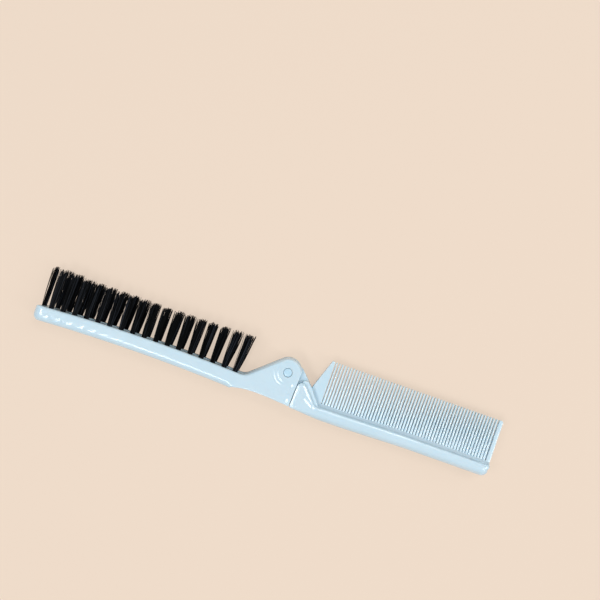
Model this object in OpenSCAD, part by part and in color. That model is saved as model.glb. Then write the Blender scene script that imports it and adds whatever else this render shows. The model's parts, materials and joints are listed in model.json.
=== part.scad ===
// Folding pocket brush and comb.
// The brush half carries bristle tufts in two rails. The comb half turns on one pin at
// the end of the brush, and its teeth fold into the slot between the rails.
// X runs along the open length towards the comb, Y towards the tips of the bristles
// and teeth, and Z along the hinge pin. The part lies on its side faces at z = 0.

/* [Overall] */
// Thickness of both moulded halves along the hinge pin
body_t = 10.5; // [10:0.1:12.5]
// Distance from the hinge pin to the far end of the brush
brush_l = 100.7; // [97:0.1:115]
// Distance from the hinge pin to the far end of the comb
comb_l = 86; // [60:0.1:88]

/* [Brush body] */
// Height of the rails, from their back to the face that holds the tufts
rail_h = 6.2; // [5.4:0.1:6.6]
// Material left between the bottom of the slot and the back, at mid length
floor_t = 2; // [1.2:0.05:3]
// How much lower the ends of the brush lie than its middle
bow_h = 1.2; // [0.4:0.05:1.5]
// Radius of the long back edges of the rails
back_edge_r = 2.4; // [1:0.1:2.5]
// Radius of the outer edges beside the tufts
top_edge_r = 0.9; // [0.3:0.1:1]
// Radius of the far end's corners, seen from the tufts
end_corner_r = 3; // [1:0.1:4.5]
// Radius of the far end's lower corner, seen from the side
end_back_r = 2.5; // [1:0.1:3]
// Radius of the far end's upper corner, seen from the side
end_top_r = 1.2; // [0.5:0.1:2]

/* [Hinge] */
// Radius of the rounded cheeks about the hinge pin
cheek_r = 5.3; // [4.8:0.1:5.5]
// Distance from the hinge pin to the foot of the slope up to the cheeks
neck_l = 16; // [15.5:0.1:19]
// Chamfer along the slope and round the cheeks
cheek_bevel = 0.6; // [0.2:0.1:1.2]
// How far the end faces of the cheeks lie inside the cheeks' radius
stop_set = 0.3; // [0.1:0.05:0.5]
// How far the end faces of the cheeks lean back over their height
stop_lean = 0.5; // [0:0.1:1]
// Chamfer along the two meeting end faces
stop_bevel = 0.3; // [0.1:0.05:0.6]
// Depth of the hollow waist in the back behind the cheeks
waist_h = 1.4; // [0.3:0.1:1.8]
// Thickness of the comb's tongue between the cheeks
tongue_t = 3.2; // [2.8:0.1:3.4]
// Diameter of the hinge pin
pin_d = 2.6; // [2:0.1:3]
// Diameter of the head of the hinge pin
pin_head_d = 3.6; // [3.4:0.1:4.4]
// Height of the head of the hinge pin
pin_head_h = 0.9; // [0.6:0.1:1.4]
// Chamfer on both ends of the hinge pin
pin_rim = 0.25; // [0.1:0.05:0.4]

/* [Bristles] */
// Number of tufts in each row
tuft_n = 17; // [12:1:18]
// Diameter of the holes that hold the tufts
hole_d = 2; // [1.8:0.05:2.1]
// Depth of the holes that hold the tufts
hole_depth = 3.2; // [2.6:0.1:3.5]
// Free length of the bristles above the middle of the rails
bristle_l = 13.8; // [10:0.05:16]
// Length of a tuft's fan along the brush, at its tips
fan_l = 3.2; // [2.4:0.1:4]
// Width of a tuft's fan across the brush, at its tips
fan_w = 2.8; // [2:0.1:2.8]
// Distance from the far end of the brush to the single end tuft
end_tuft_l = 2.2; // [2:0.1:3.5]
// Distance from the end tuft to the first pair of tufts
first_pair_l = 3.8; // [3.4:0.1:5]
// Distance from the foot of the slope to the last pair of tufts
last_pair_l = 3.5; // [2.3:0.1:4.5]
// Angle at which the last tufts lean towards the comb
last_lean = 4; // [0:0.5:6]
// Number of strands in each tuft
strand_n = 12; // [9:1:14]
// Width of a strand across its corners, at the root
strand_d = 0.34; // [0.25:0.01:0.36]
// Width of a strand's tip as a part of its root's
strand_taper = 0.9; // [0.6:0.05:1]
// Height by which the strands' tips differ
ragged = 0.4; // [0.1:0.05:0.6]
// Depth to which the strands can be told apart in the tuft's root
strand_sink = 0.4; // [0.2:0.05:1]
// Thickness of the metal anchor that each tuft is folded over
anchor_t = 0.3; // [0.2:0.05:0.4]
// Height of the metal anchor
anchor_h = 1.5; // [1:0.1:1.8]
// Height of the metal anchor above the bottom of its hole
anchor_lift = 0.5; // [0.3:0.05:0.7]

/* [Comb body] */
// Height of the tooth tips above the hinge axis
tip_y = 9.7; // [8.5:0.1:11]
// Spacing of the teeth
tooth_pitch = 1.21; // [1.1:0.002:2.4]
// Part of each pitch that a tooth fills at its root
tooth_fill = 0.62; // [0.5:0.01:0.7]
// Width of a tooth at its tip
tooth_tip_w = 0.46; // [0.3:0.01:0.5]
// Thickness of the tooth plate at the roots
plate_t = 2.6; // [2:0.1:3]
// Thickness of the teeth at their tips
plate_tip_t = 1.1; // [0.8:0.1:1.6]
// Height of the plain web between the teeth and the ledge
web_h = 0.9; // [0.3:0.1:1.5]
// Height of the slanted ledge on the spine
ledge_h = 0.3; // [0.2:0.1:1.5]
// Height of the spine below the ledge
spine_h = 4.5; // [3.6:0.1:6]
// Amount by which the spine is set in from each side face
spine_inset = 0.5; // [0.1:0.1:1]
// Radius of the long back edges of the spine
spine_edge_r = 3; // [1:0.1:3.2]
// Radius of the edges between the ledge and the spine's side faces
ledge_edge_r = 0.5; // [0.2:0.1:0.6]
// Distance from the hinge pin to the place where the spine has its full height
spine_full_l = 19; // [18:0.5:30]
// Distance from the hinge pin to the tip of the first guard tooth
guard_l = 15.2; // [14.6:0.1:17]
// Width of the first guard tooth at its tip
guard_tip_w = 1.1; // [0.5:0.1:1.6]
// Width of the guard tooth at the far end
end_guard_w = 1.6; // [1.2:0.1:4]

/* [Comb root] */
// Distance from the hinge axis down to the top of the root block
block_drop = 2; // [1.6:0.1:2.4]
// Distance from the hinge pin to the far corner of the root block's top
block_top_l = 7.9; // [7.6:0.1:8.8]
// Distance from the hinge pin to the root block's foot on the ledge
block_foot_l = 14.6; // [13.5:0.1:16]
// Distance from the hinge pin to the tongue's shoulder
shoulder_l = 5.6; // [5.4:0.1:5.8]
// Height of the tongue's shoulder above the hinge axis
shoulder_h = 2.6; // [2.2:0.1:2.8]
// Angle at which the tongue leaves its round end towards the shoulder
shoulder_a = 66; // [60:1:70]
// Distance from the hinge pin to the notch before the first guard tooth
notch_l = 10.9; // [10.2:0.1:11.4]
// Distance from the hinge axis down to the notch
notch_drop = 2.7; // [2.2:0.1:3.2]

/* [Clearances] */
// Gap on each side of the comb's tongue between the cheeks
tongue_gap = 0.3; // [0.2:0.05:0.6]
// Gap between the folded teeth and the bottom of the slot
floor_gap = 0.5; // [0.35:0.05:1.5]
// Gap between the folded comb and the end of the slot
slot_end_gap = 2.5; // [1:0.1:4]
// Gap between the meeting end faces when the comb is open
stop_gap = 0.3; // [0.2:0.05:0.6]
// Gap between the folded comb's root and the slope of the cheeks
fold_gap = 0.3; // [0.25:0.05:1]
// Gap between the folded spine and the tips of the bristles
spine_gap = 0.9; // [0.5:0.1:3]
// Gap between the folded guard tooth and the bridge behind the hinge
bridge_gap = 1.2; // [0.8:0.1:2]
// Gap between the tongue and the bridge behind the hinge
tongue_floor_gap = 1.2; // [0.5:0.1:1.6]
// Radial running clearance of the tongue on the hinge pin
pin_run_gap = 0.06; // [0.02:0.01:0.1]
// Radial clearance of the hinge pin in the cheeks
pin_seat_gap = 0.01; // [0:0.005:0.03]
// Radial clearance of the pin's head in its seat
pin_head_gap = 0.1; // [0.05:0.01:0.2]
// Depth of the pin's ends below the side faces
pin_sink = 0.12; // [0:0.02:0.4]
// Radial clearance of a tuft's root in its hole
root_gap = 0.02; // [0.01:0.01:0.05]
// Gap between the ends of an anchor and the wall of its hole
anchor_gap = 0.04; // [0.02:0.01:0.1]

/* [Hidden] */
function two_digits(i) = str(i < 10 ? "0" : "", i);
function tuft_name(row, i) = str(row, "_tuft_", two_digits(i));

plastic_c = [0.78, 0.88, 0.93];
pin_c = [0.74, 0.87, 0.94];
nylon_c = [0.03, 0.03, 0.04];
metal_c = [0.72, 0.72, 0.70];
round_fn = 96;
small_fn = 32;
over = 1;
// Outlines that meet at a face stand this much proud of each other
proud = 0.05;
mid_z = body_t / 2;

// Heights of the brush, measured from the hinge axis
slot_w = tongue_t + 2 * tongue_gap;
slot_floor = -(tip_y + floor_gap);
back_y = slot_floor - floor_t;
top_y = back_y + rail_h;
trim_y = top_y + bristle_l;
slot_end_x = -(comb_l + slot_end_gap);
rail_w = (body_t - slot_w) / 2;

// The rails follow a large arc whose crown is midway between the far end and the neck
crown_x = -(brush_l + neck_l) / 2;
bow_r = pow(brush_l - neck_l, 2) / (8 * bow_h);
bow_y = back_y - bow_r;
function arc_y(r, x) = bow_y + sqrt(r * r - pow(x - crown_x, 2));
function back_at(x) = arc_y(bow_r, x);
function top_at(x) = arc_y(bow_r + rail_h, x);

// The slope runs from its foot on the rail to the cheeks' circle, just inside the tangent
flat_r = cheek_r - proud;
foot = [-neck_l, top_at(-neck_l)];
slope_a = atan2(foot[1], foot[0]) + 360 - acos(flat_r / norm(foot));
slope_dir = [cos(slope_a), sin(slope_a)];
slope_top = flat_r * slope_dir;

// End faces of the cheeks and of the comb's root, and the height at which they meet the cheeks' circle
stop_l = cheek_r - stop_set;
function stop_x(y) = stop_l - stop_lean * y / back_y;
function root_x(y) = stop_x(y) + stop_gap;
stop_top = sqrt(cheek_r * cheek_r - stop_l * stop_l);

// The waist swells from the back line and is deepest a third of the way to the hinge
waist_start = -(neck_l + last_pair_l);
waist_end = stop_x(back_y);
waist_power = 0.625;
waist_steps = 24;
function waist_at(t) = waist_h * sin(180 * pow(t, waist_power));
function waist_y(t) = back_at(waist_start) * (1 - t) + back_y * t + waist_at(t);
waist_deep = ceil(waist_steps / 3);
function waist_pts(a, b) = [for (i = [a : b]) let (t = i / waist_steps)
    [waist_start + (waist_end - waist_start) * t, waist_y(t)]];

// Places of the tufts
end_tuft_x = -(brush_l - end_tuft_l);
first_x = end_tuft_x + first_pair_l;
last_x = waist_start;
tuft_pitch = (last_x - first_x) / (tuft_n - 1);
function tuft_x(i) = first_x + (i - 1) * tuft_pitch;
root_d = hole_d - 2 * root_gap;
anchor_w = hole_d - 2 * anchor_gap;
function tuft_lean(i) = last_lean * max(0, i - 1) / (tuft_n - 1);

// Heights of the comb in its open place
ledge_y = -(trim_y + ragged + spine_gap);
web_y = ledge_y + ledge_h;
tooth_root_y = web_y + web_h;
comb_back = ledge_y - spine_h;
spine_half = mid_z - spine_inset;

// The corner of the comb's root block is cut parallel to the cheeks' slope, as it lies when folded
cut_d = cheek_r + fold_gap;
function cut_y(x) = (-cut_d - slope_dir[0] * x) / slope_dir[1];
function cut_x(y) = (-cut_d - slope_dir[1] * y) / slope_dir[0];

// The tongue's outline runs from the cheeks' circle over a shoulder to the notch
shoulder = [shoulder_l, shoulder_h];
notch = [notch_l, -notch_drop];
function guard_x(y) = notch[0] + (guard_l - notch[0]) * (y - notch[1]) / (tip_y - notch[1]);
bridge_y = -(cheek_r + tongue_floor_gap);
function bridge_x(y) = -(guard_x(-y) - bridge_gap);

// Teeth: the pitch is trimmed so that a whole number fits between the guards
teeth_start = guard_l + guard_tip_w;
teeth_end = comb_l - end_guard_w;
tooth_n = round((teeth_end - teeth_start) / tooth_pitch);
pitch = (teeth_end - teeth_start) / (tooth_n + 1 - tooth_fill);
tooth_w = pitch * tooth_fill;
function tooth_x(i) = teeth_start + pitch * (i + 1 - tooth_fill / 2);
tooth_pts = [for (i = [0 : tooth_n - 1])
    for (p = [[-tooth_w, tooth_root_y], [-tooth_tip_w, tip_y], [tooth_tip_w, tip_y], [tooth_w, tooth_root_y]])
        [tooth_x(i) + p[0] / 2, p[1]]];

// The origin is the middle of the lowest face of the whole part's box
mid_x = (comb_l - brush_l) / 2;
mid_y = (tip_y + comb_back) / 2;

module place() {
    translate([-mid_x, -mid_y, 0]) children();
}

// A section h high along X and w wide along Y with its own radius on each pair of edges
module section(h, w, r_low, r_high) {
    for (s = [0, 1]) {
        translate([r_low, s * w + (1 - 2 * s) * r_low]) circle(r = r_low, $fn = round_fn);
        translate([h - r_high, s * w + (1 - 2 * s) * r_high]) circle(r = r_high, $fn = round_fn);
    }
    translate([0, r_low]) square([h, w - 2 * r_low]);
    translate([r_low, 0]) square([h - r_low - r_high, w]);
    translate([r_low, r_high]) square([h - r_low, w - 2 * r_high]);
}

// Bars that cut a chamfer of size c on both side faces along the line from a to b, which has
// the solid on its right
module edge_cut(a, b, c) {
    d = b - a;
    for (side = [0, 1]) {
        translate([a[0], a[1], side * body_t]) rotate([0, 0, atan2(d[1], d[0])]) mirror([0, 0, side])
            rotate([45, 0, 0]) translate([-over, -c, c / sqrt(2) - 2 * c])
            cube([norm(d) + 2 * over, 2 * c, 2 * c]);
    }
}

// A ring that cuts the chamfer round the cheeks' ends
module ring_cut() {
    edge_r = cheek_r - cheek_bevel;
    rotate_extrude(angle = slope_a, $fn = round_fn)
        polygon([[edge_r, -over], [edge_r + 2 * over, -over], [edge_r + 2 * over, 2 * over], [edge_r, 0]]);
}

// The two rails as one bowed bar with a rounded section, which the waist cuts into
module rail_bar() {
    reach = asin(((brush_l - neck_l) / 2 + over) / bow_r);
    neck_pts = waist_pts(1, waist_deep + 1);
    neck_reach = asin((neck_pts[waist_deep - 1][0] - crown_x) / bow_r);
    low = back_y - bow_h - 2 * over;
    difference() {
        translate([crown_x, bow_y, 0]) rotate([0, 0, 90 - neck_reach])
            rotate_extrude(angle = reach + neck_reach, $fn = 1440)
                translate([bow_r, 0]) section(rail_h, body_t, back_edge_r, top_edge_r);
        translate([0, 0, -over]) linear_extrude(body_t + 2 * over) polygon(concat(
            [[waist_start, low], [waist_start, back_at(waist_start) - proud]],
            neck_pts,
            [[neck_pts[waist_deep][0], low]]));
    }
}

// The far end's outline seen from the side
module end_side_outline() {
    low = back_at(-brush_l);
    high = top_at(-brush_l);
    end_x = -brush_l - proud;
    translate([end_x + end_back_r, low + end_back_r]) circle(r = end_back_r, $fn = round_fn);
    translate([end_x + end_top_r, high - end_top_r]) circle(r = end_top_r, $fn = round_fn);
    translate([end_x, low + end_back_r]) square([end_back_r + over, high - end_top_r - low - end_back_r]);
    translate([end_x + end_top_r, low + end_back_r]) square([end_back_r + over, high - low - end_back_r]);
    translate([end_x + end_back_r, back_y - bow_h - over]) square([brush_l, rail_h + bow_h + 2 * over]);
}

// The far end's outline seen from the tufts
module end_plan_outline() {
    for (z = [end_corner_r, body_t - end_corner_r]) {
        translate([-brush_l + end_corner_r, z]) circle(r = end_corner_r, $fn = round_fn);
    }
    translate([-brush_l, end_corner_r]) square([end_corner_r + over, body_t - 2 * end_corner_r]);
    translate([-brush_l + end_corner_r, -over]) square([brush_l, body_t + 2 * over]);
}

// The cheeks as one outline, from the deepest point of the waist to the end face
module clevis_outline() {
    circle(r = cheek_r, $fn = round_fn);
    polygon(concat(waist_pts(waist_deep, waist_steps), [[flat_r, back_y], [flat_r, 0], slope_top, foot]));
}

// What lies beyond the end faces of the cheeks
module beyond_outline() {
    low = back_y - over;
    far = cheek_r + over;
    polygon([[stop_x(low), low], [far, low], [far, far], [stop_x(far), far]]);
}

module slot_outline() {
    polygon([
        [slot_end_x + slot_w / 2, slot_floor],
        [bridge_x(slot_floor), slot_floor],
        [bridge_x(bridge_y), bridge_y],
        [cheek_r + over, bridge_y],
        [cheek_r + over, cheek_r + over],
        [slot_end_x + slot_w / 2, cheek_r + over]]);
}

module tuft_holes() {
    for (i = [1 : tuft_n]) {
        for (z = [rail_w / 2, body_t - rail_w / 2]) {
            translate([tuft_x(i), top_at(tuft_x(i)) - hole_depth, z]) rotate([-90, 0, 0])
                cylinder(d = hole_d, h = hole_depth + over, $fn = small_fn);
        }
    }
    translate([end_tuft_x, top_at(end_tuft_x) - hole_depth, mid_z]) rotate([-90, 0, 0])
        cylinder(d = hole_d, h = hole_depth + over, $fn = small_fn);
}

module brush_body() {
    color(plastic_c) difference() {
        union() {
            intersection() {
                rail_bar();
                translate([0, 0, -over]) linear_extrude(body_t + 2 * over) end_side_outline();
                translate([0, cheek_r, 0]) rotate([90, 0, 0]) linear_extrude(cheek_r - back_y + bow_h + over)
                    end_plan_outline();
            }
            difference() {
                linear_extrude(body_t) clevis_outline();
                edge_cut(foot, slope_top, cheek_bevel);
                ring_cut();
                translate([0, 0, body_t]) mirror([0, 0, 1]) ring_cut();
                translate([0, 0, -over]) linear_extrude(body_t + 2 * over) beyond_outline();
                edge_cut([stop_x(stop_top), stop_top], [stop_x(back_y), back_y], stop_bevel);
            }
        }
        translate([0, 0, mid_z - slot_w / 2]) linear_extrude(slot_w) slot_outline();
        translate([slot_end_x + slot_w / 2, slot_floor, mid_z]) rotate([-90, 0, 0])
            cylinder(d = slot_w, h = cheek_r - slot_floor, $fn = round_fn);
        tuft_holes();
        translate([0, 0, -over])
            cylinder(d = pin_d + 2 * pin_seat_gap, h = body_t + 2 * over, $fn = round_fn);
        translate([0, 0, body_t - pin_sink - pin_head_h])
            cylinder(d = pin_head_d + 2 * pin_head_gap, h = pin_head_h + over, $fn = round_fn);
    }
}

module hinge_pin() {
    head_z = body_t - pin_sink;
    r = pin_d / 2;
    head_r = pin_head_d / 2;
    color(pin_c) rotate_extrude($fn = round_fn) polygon([
        [0, pin_sink], [r - pin_rim, pin_sink], [r, pin_sink + pin_rim], [r, head_z - pin_head_h],
        [head_r, head_z - pin_head_h], [head_r, head_z - pin_rim], [head_r - pin_rim, head_z], [0, head_z]]);
}

// The tooth plate seen from the side: teeth, both guards, web and the notch
module plate_outline() {
    polygon(concat(
        [[root_x(ledge_y) + proud, ledge_y - over], [root_x(ledge_y) + proud, ledge_y], notch,
         [guard_l, tip_y], [teeth_start, tip_y], [teeth_start, tooth_root_y]],
        tooth_pts,
        [[teeth_end, tooth_root_y], [teeth_end + (tooth_w - tooth_tip_w) / 4, tip_y],
         [comb_l - end_guard_w / 2, tip_y], [comb_l + proud, tip_y - end_guard_w / 2],
         [comb_l + proud, ledge_y - over]]));
}

// The comb's section seen along X: tooth plate and slanted ledge
module plate_section() {
    half = [
        [ledge_y - over, spine_half - ledge_edge_r - over / 4], [ledge_y, spine_half - ledge_edge_r],
        [web_y, plate_t / 2], [tip_y + proud, plate_tip_t / 2]];
    polygon(concat(
        [for (p = half) [p[0], mid_z - p[1]]],
        [for (i = [len(half) - 1 : -1 : 0]) [half[i][0], mid_z + half[i][1]]]));
}

// The spine's outline seen from the side, slimmer towards the hinge
module spine_outline() {
    end_x = comb_l + proud;
    polygon([
        [root_x(ledge_y) + proud, ledge_y + proud], [root_x(back_y) + proud, back_y],
        [spine_full_l, comb_back - proud], [end_x - end_back_r, comb_back - proud],
        [end_x, comb_back + end_back_r], [end_x, ledge_y + proud]]);
    translate([end_x - end_back_r, comb_back + end_back_r - proud]) circle(r = end_back_r, $fn = round_fn);
}

// The comb's outline seen from the tips of its teeth, with two rounded corners at the far end
module comb_end_outline() {
    for (z = [end_corner_r, body_t - end_corner_r]) {
        translate([comb_l - end_corner_r, z]) circle(r = end_corner_r, $fn = round_fn);
    }
    translate([0, -over]) square([comb_l - end_corner_r, body_t + 2 * over]);
    translate([0, end_corner_r]) square([comb_l, body_t - 2 * end_corner_r]);
}

module along_x() {
    rotate([90, 0, 90]) linear_extrude(comb_l + over) children();
}

module root_block() {
    difference() {
        linear_extrude(body_t) polygon([
            [root_x(back_y), back_y], [root_x(cut_y(root_x(-block_drop))), cut_y(root_x(-block_drop))],
            [cut_x(-block_drop), -block_drop], [block_top_l, -block_drop], [block_foot_l, ledge_y],
            [(block_foot_l + root_x(back_y)) / 2, back_y]]);
        edge_cut([block_top_l, -block_drop], [block_foot_l, ledge_y], cheek_bevel);
        edge_cut([root_x(back_y), back_y], [root_x(-block_drop), -block_drop], stop_bevel);
    }
}

module tongue() {
    translate([0, 0, mid_z - tongue_t / 2]) linear_extrude(tongue_t) {
        circle(r = cheek_r, $fn = round_fn);
        polygon([
            [0, 0], (cheek_r - proud) * [cos(shoulder_a), sin(shoulder_a)], shoulder, notch,
            [notch[0], ledge_y], [root_x(ledge_y) + proud, ledge_y],
            [root_x(ledge_y) + proud, -cheek_r + proud], [0, -cheek_r + proud]]);
    }
}

module comb_body() {
    color(plastic_c) difference() {
        union() {
            intersection() {
                along_x() plate_section();
                linear_extrude(body_t) plate_outline();
                translate([0, tip_y + over, 0]) rotate([90, 0, 0])
                    linear_extrude(tip_y - comb_back + 2 * over) comb_end_outline();
            }
            intersection() {
                along_x() translate([comb_back, mid_z - spine_half])
                    section(spine_h, 2 * spine_half, spine_edge_r, ledge_edge_r);
                linear_extrude(body_t) spine_outline();
                translate([0, tip_y + over, 0]) rotate([90, 0, 0])
                    linear_extrude(tip_y - comb_back + 2 * over) comb_end_outline();
            }
            root_block();
            tongue();
        }
        translate([0, 0, -over])
            cylinder(d = pin_d + 2 * pin_run_gap, h = body_t + 2 * over, $fn = round_fn);
    }
}

// Strands stand in two rings on the root and spread evenly to their tips, so none cross
inner_n = ceil(strand_n / 3);
inner_share = 0.45;
edge_share = 0.2;
outer_r = (root_d - strand_d) / 2 - strand_d * edge_share;
inner_r = outer_r * inner_share;
golden_a = 137.5;
function strand_root(k) = k < inner_n
    ? inner_r * [cos(360 * k / inner_n), sin(360 * k / inner_n)]
    : outer_r * [cos(360 * (k + 0.5) / (strand_n - inner_n)), sin(360 * (k + 0.5) / (strand_n - inner_n))];
function tip_height(k, seed) = trim_y - ragged / 2 * sin(golden_a * (k + strand_n * seed));

// A four-sided strand from a to b, each a place along and across the brush
module strand(a, low, b, tip) {
    corners = [[1, 0], [0, 1], [-1, 0], [0, -1]] * strand_d / 2;
    polyhedron(
        points = concat(
            [for (c = corners) [a[0] + c[0], low, a[1] + c[1]]],
            [for (c = corners * strand_taper) [b[0] + c[0], tip, b[1] + c[1]]]),
        faces = concat(
            [[0, 2, 1], [0, 3, 2], [4, 5, 6], [4, 6, 7]],
            [for (i = [0 : 3]) let (j = (i + 1) % 4) [i, j, i + 4]],
            [for (i = [0 : 3]) let (j = (i + 1) % 4) [j, j + 4, i + 4]]));
}

// A tuft at x and z: its root fills the hole round the anchor, its strands spread above
module tuft(x, z, seed, lean) {
    low = top_at(x) - hole_depth;
    fan = [fan_l - strand_d, fan_w - strand_d] / (2 * outer_r);
    color(nylon_c) translate([x, 0, z]) {
        difference() {
            translate([0, low, 0]) rotate([-90, 0, 0]) cylinder(d = root_d, h = hole_depth, $fn = small_fn);
            translate([-anchor_t / 2, low + anchor_lift, -hole_d]) cube([anchor_t, anchor_h, 2 * hole_d]);
        }
        for (k = [0 : strand_n - 1]) {
            a = strand_root(k);
            b = [a[0] * fan[0] + bristle_l * tan(lean), a[1] * fan[1]];
            strand(a, top_at(x) - strand_sink, b, tip_height(k, seed));
        }
    }
}

module anchor(x, z) {
    translate([x - anchor_t / 2, top_at(x) - hole_depth + anchor_lift, z - anchor_w / 2])
        cube([anchor_t, anchor_h, anchor_w]);
}

module tuft_anchors() {
    color(metal_c) {
        for (i = [1 : tuft_n]) {
            anchor(tuft_x(i), rail_w / 2);
            anchor(tuft_x(i), body_t - rail_w / 2);
        }
        anchor(end_tuft_x, mid_z);
    }
}

place() brush_body();
place() comb_body();
place() hinge_pin();
place() tuft_anchors();
place() tuft(end_tuft_x, mid_z, 0, 0);  // end_tuft
for (i = [1 : tuft_n]) {
    union() {
        place() tuft(tuft_x(i), body_t - rail_w / 2, i, tuft_lean(i));
    }
    union() {
        place() tuft(tuft_x(i), rail_w / 2, i + tuft_n, tuft_lean(i));
    }
}
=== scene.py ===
"""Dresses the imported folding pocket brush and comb.

The brush half, the comb half, the hinge pin and every bristle tuft are made here in full
detail and stand for their CAD nodes. Sizes are in millimetres from the hinge axis, as in
the part's own source: X runs towards the comb, Y towards the tips, Z along the pin.
"""
import json
import logging
import math
from collections.abc import Callable, Sequence
from dataclasses import dataclass
from enum import Enum
from functools import cached_property, partial

import bmesh
import bpy
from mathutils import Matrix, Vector, noise
from mathutils.geometry import delaunay_2d_cdt


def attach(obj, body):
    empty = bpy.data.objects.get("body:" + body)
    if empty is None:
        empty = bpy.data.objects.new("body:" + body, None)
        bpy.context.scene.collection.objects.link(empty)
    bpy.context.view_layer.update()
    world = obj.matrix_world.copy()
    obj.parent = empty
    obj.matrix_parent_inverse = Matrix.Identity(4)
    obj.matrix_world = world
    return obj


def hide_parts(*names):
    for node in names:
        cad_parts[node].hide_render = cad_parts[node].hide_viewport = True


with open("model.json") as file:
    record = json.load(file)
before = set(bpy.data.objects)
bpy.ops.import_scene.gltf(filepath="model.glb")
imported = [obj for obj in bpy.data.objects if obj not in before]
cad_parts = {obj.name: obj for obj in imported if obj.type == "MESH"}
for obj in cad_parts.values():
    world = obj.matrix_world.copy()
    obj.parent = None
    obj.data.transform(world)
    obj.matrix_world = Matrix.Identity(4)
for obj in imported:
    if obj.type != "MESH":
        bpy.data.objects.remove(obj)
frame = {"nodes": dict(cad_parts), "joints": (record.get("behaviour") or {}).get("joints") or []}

MM = 0.001
HINGE = Vector(frame["joints"][0]["pos_m"]).to_2d().to_3d()
BODY_T = 10.5
SMOOTH_ANGLE = math.radians(32)
GOLDEN_ANGLE = 2.39996
CORNER_STEP = 0.3
LATHE_SIDES = 72
HOLE_SIDES = 32
SAME_SPOT = 1e-5
SHORTEST_SIDE = 1e-4
DOUBLE_D = 0.0005 * MM
SLIVER_D = 0.0002 * MM
SEAM_D = 0.001 * MM

log = logging.getLogger("brush_comb")
Piece = bpy.types.Object
Finish = bpy.types.Material
Socket = bpy.types.NodeSocket
Surface = Callable[[float, float], float]
Profile = list[tuple[float, float]]
Colour = tuple[float, float, float, float]
Span = tuple[float, float]


class Body(str, Enum):
    """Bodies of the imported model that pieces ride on."""

    BRUSH = "brush"
    COMB = "comb"


class Slot(str, Enum):
    """Names of the record's material slots for the pieces made here; they are passed to place() but not used.
    """

    PLASTIC = "pale_plastic"
    PIN = "pin_plastic"
    NYLON = "nylon"


class Cut(str, Enum):
    """Ways to join one closed solid with another."""

    TAKE_AWAY = "DIFFERENCE"
    ADD = "UNION"


def mix(a: float, b: float, t: float) -> float:
    """Returns the value a share t of the way from a to b."""
    return a + (b - a) * t


def ramp(low: float, high: float, x: float) -> float:
    """Returns a straight rise from 0 at low to 1 at high."""
    return min(1.0, max(0.0, (x - low) / (high - low)))


def ease(low: float, high: float, x: float) -> float:
    """Returns a rise from 0 at low to 1 at high that is level at both ends."""
    t = ramp(low, high, x)
    return t * t * (3 - 2 * t)


def fade(distance: float, reach: float) -> float:
    """Returns a straight fall from 1 at no distance to 0 at the reach."""
    return max(0.0, 1 - distance / reach)


def bell(x: float, width: float) -> float:
    """Returns a bell curve of height 1 and the given half width."""
    return math.exp(-0.5 * (x / width) ** 2)


def shares(count: int) -> list[float]:
    """Returns evenly spaced shares from 0 up to 1, without the 1."""
    return [k / count for k in range(count)]


def quarter(radius: float, degrees: float) -> tuple[float, float]:
    """Returns both sides of a quarter round: 0 and the radius at 0 degrees, swapped at 90."""
    a = math.radians(degrees)
    return radius * (1 - math.cos(a)), radius * (1 - math.sin(a))


def toward_angle(a: float) -> Vector:
    """Returns the direction at an angle in radians."""
    return Vector((math.cos(a), math.sin(a)))


def run(a: Sequence[float], b: Sequence[float], count: int) -> list[Vector]:
    """Lays evenly spaced points on a line from a to b, without b."""
    start, end = Vector(a), Vector(b)
    return [start.lerp(end, t) for t in shares(count)]


def arc(centre: Sequence[float], radius: float, first: float, last: float, count: int) -> list[Vector]:
    """Lays evenly spaced points on an arc from first to last, in degrees, without its last end."""
    turn = [math.radians(mix(first, last, t)) for t in shares(count)]
    return [Vector((centre[0] + radius * math.cos(a), centre[1] + radius * math.sin(a))) for a in turn]


def circle(x: float, y: float, radius: float, count: int) -> list[Vector]:
    """Returns evenly spaced points round a circle."""
    return arc((x, y), radius, 0, 360, count)


def grid(corner: Span, step: Span, count: tuple[int, int]) -> Profile:
    """Lays points in rows and columns, from a corner, a step and a number along X and Y."""
    return [(corner[0] + step[0] * i, corner[1] + step[1] * j)
            for i in range(count[0]) for j in range(count[1])]


def inside(outline: Sequence[Vector], x: float, y: float) -> bool:
    """Tells whether a place lies inside a closed outline.

    Args:
        outline: Corners in order.
        x: Place along X.
        y: Place along Y.

    Returns:
        True where the place is inside.
    """
    found = False
    a = outline[-1]
    for b in outline:
        if (a.y > y) != (b.y > y) and x < a.x + (y - a.y) * (b.x - a.x) / (b.y - a.y):
            found = not found
        a = b
    return found


@dataclass(frozen=True)
class Edge:
    """How a side face turns into the wall at one place of an outline.

    Attributes:
        inset: Width of the turn, seen from the side.
        depth: How far below the face the wall starts.
        roundness: 1 for a quarter round, 0 for a bevel.
    """

    inset: float
    depth: float
    roundness: float = 1.0

    def profile(self, steps: int) -> Profile:
        """Gives the shares of inset and of depth from the wall to the face.

        Args:
            steps: Number of steps across the turn.

        Returns:
            One pair for each ring.
        """
        rows = []
        for k in range(steps + 1):
            t = k / steps
            a = t * math.pi / 2
            width = mix(t, 1 - math.cos(a), self.roundness)
            drop = mix(1 - t, 1 - math.sin(a), self.roundness)
            rows.append((width, drop))
        return rows


def blend_edges(a: Edge, b: Edge, t: float) -> Edge:
    """Returns the edge that is a share t of the way from a to b."""
    return Edge(mix(a.inset, b.inset, t), mix(a.depth, b.depth, t), mix(a.roundness, b.roundness, t))


@dataclass(frozen=True)
class Station:
    """One place on a plate's outline.

    Attributes:
        rim: Place on the wall.
        crease: Place where the side face becomes flat.
        edge: The turn between the two.
    """

    rim: Vector
    crease: Vector
    edge: Edge


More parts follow.
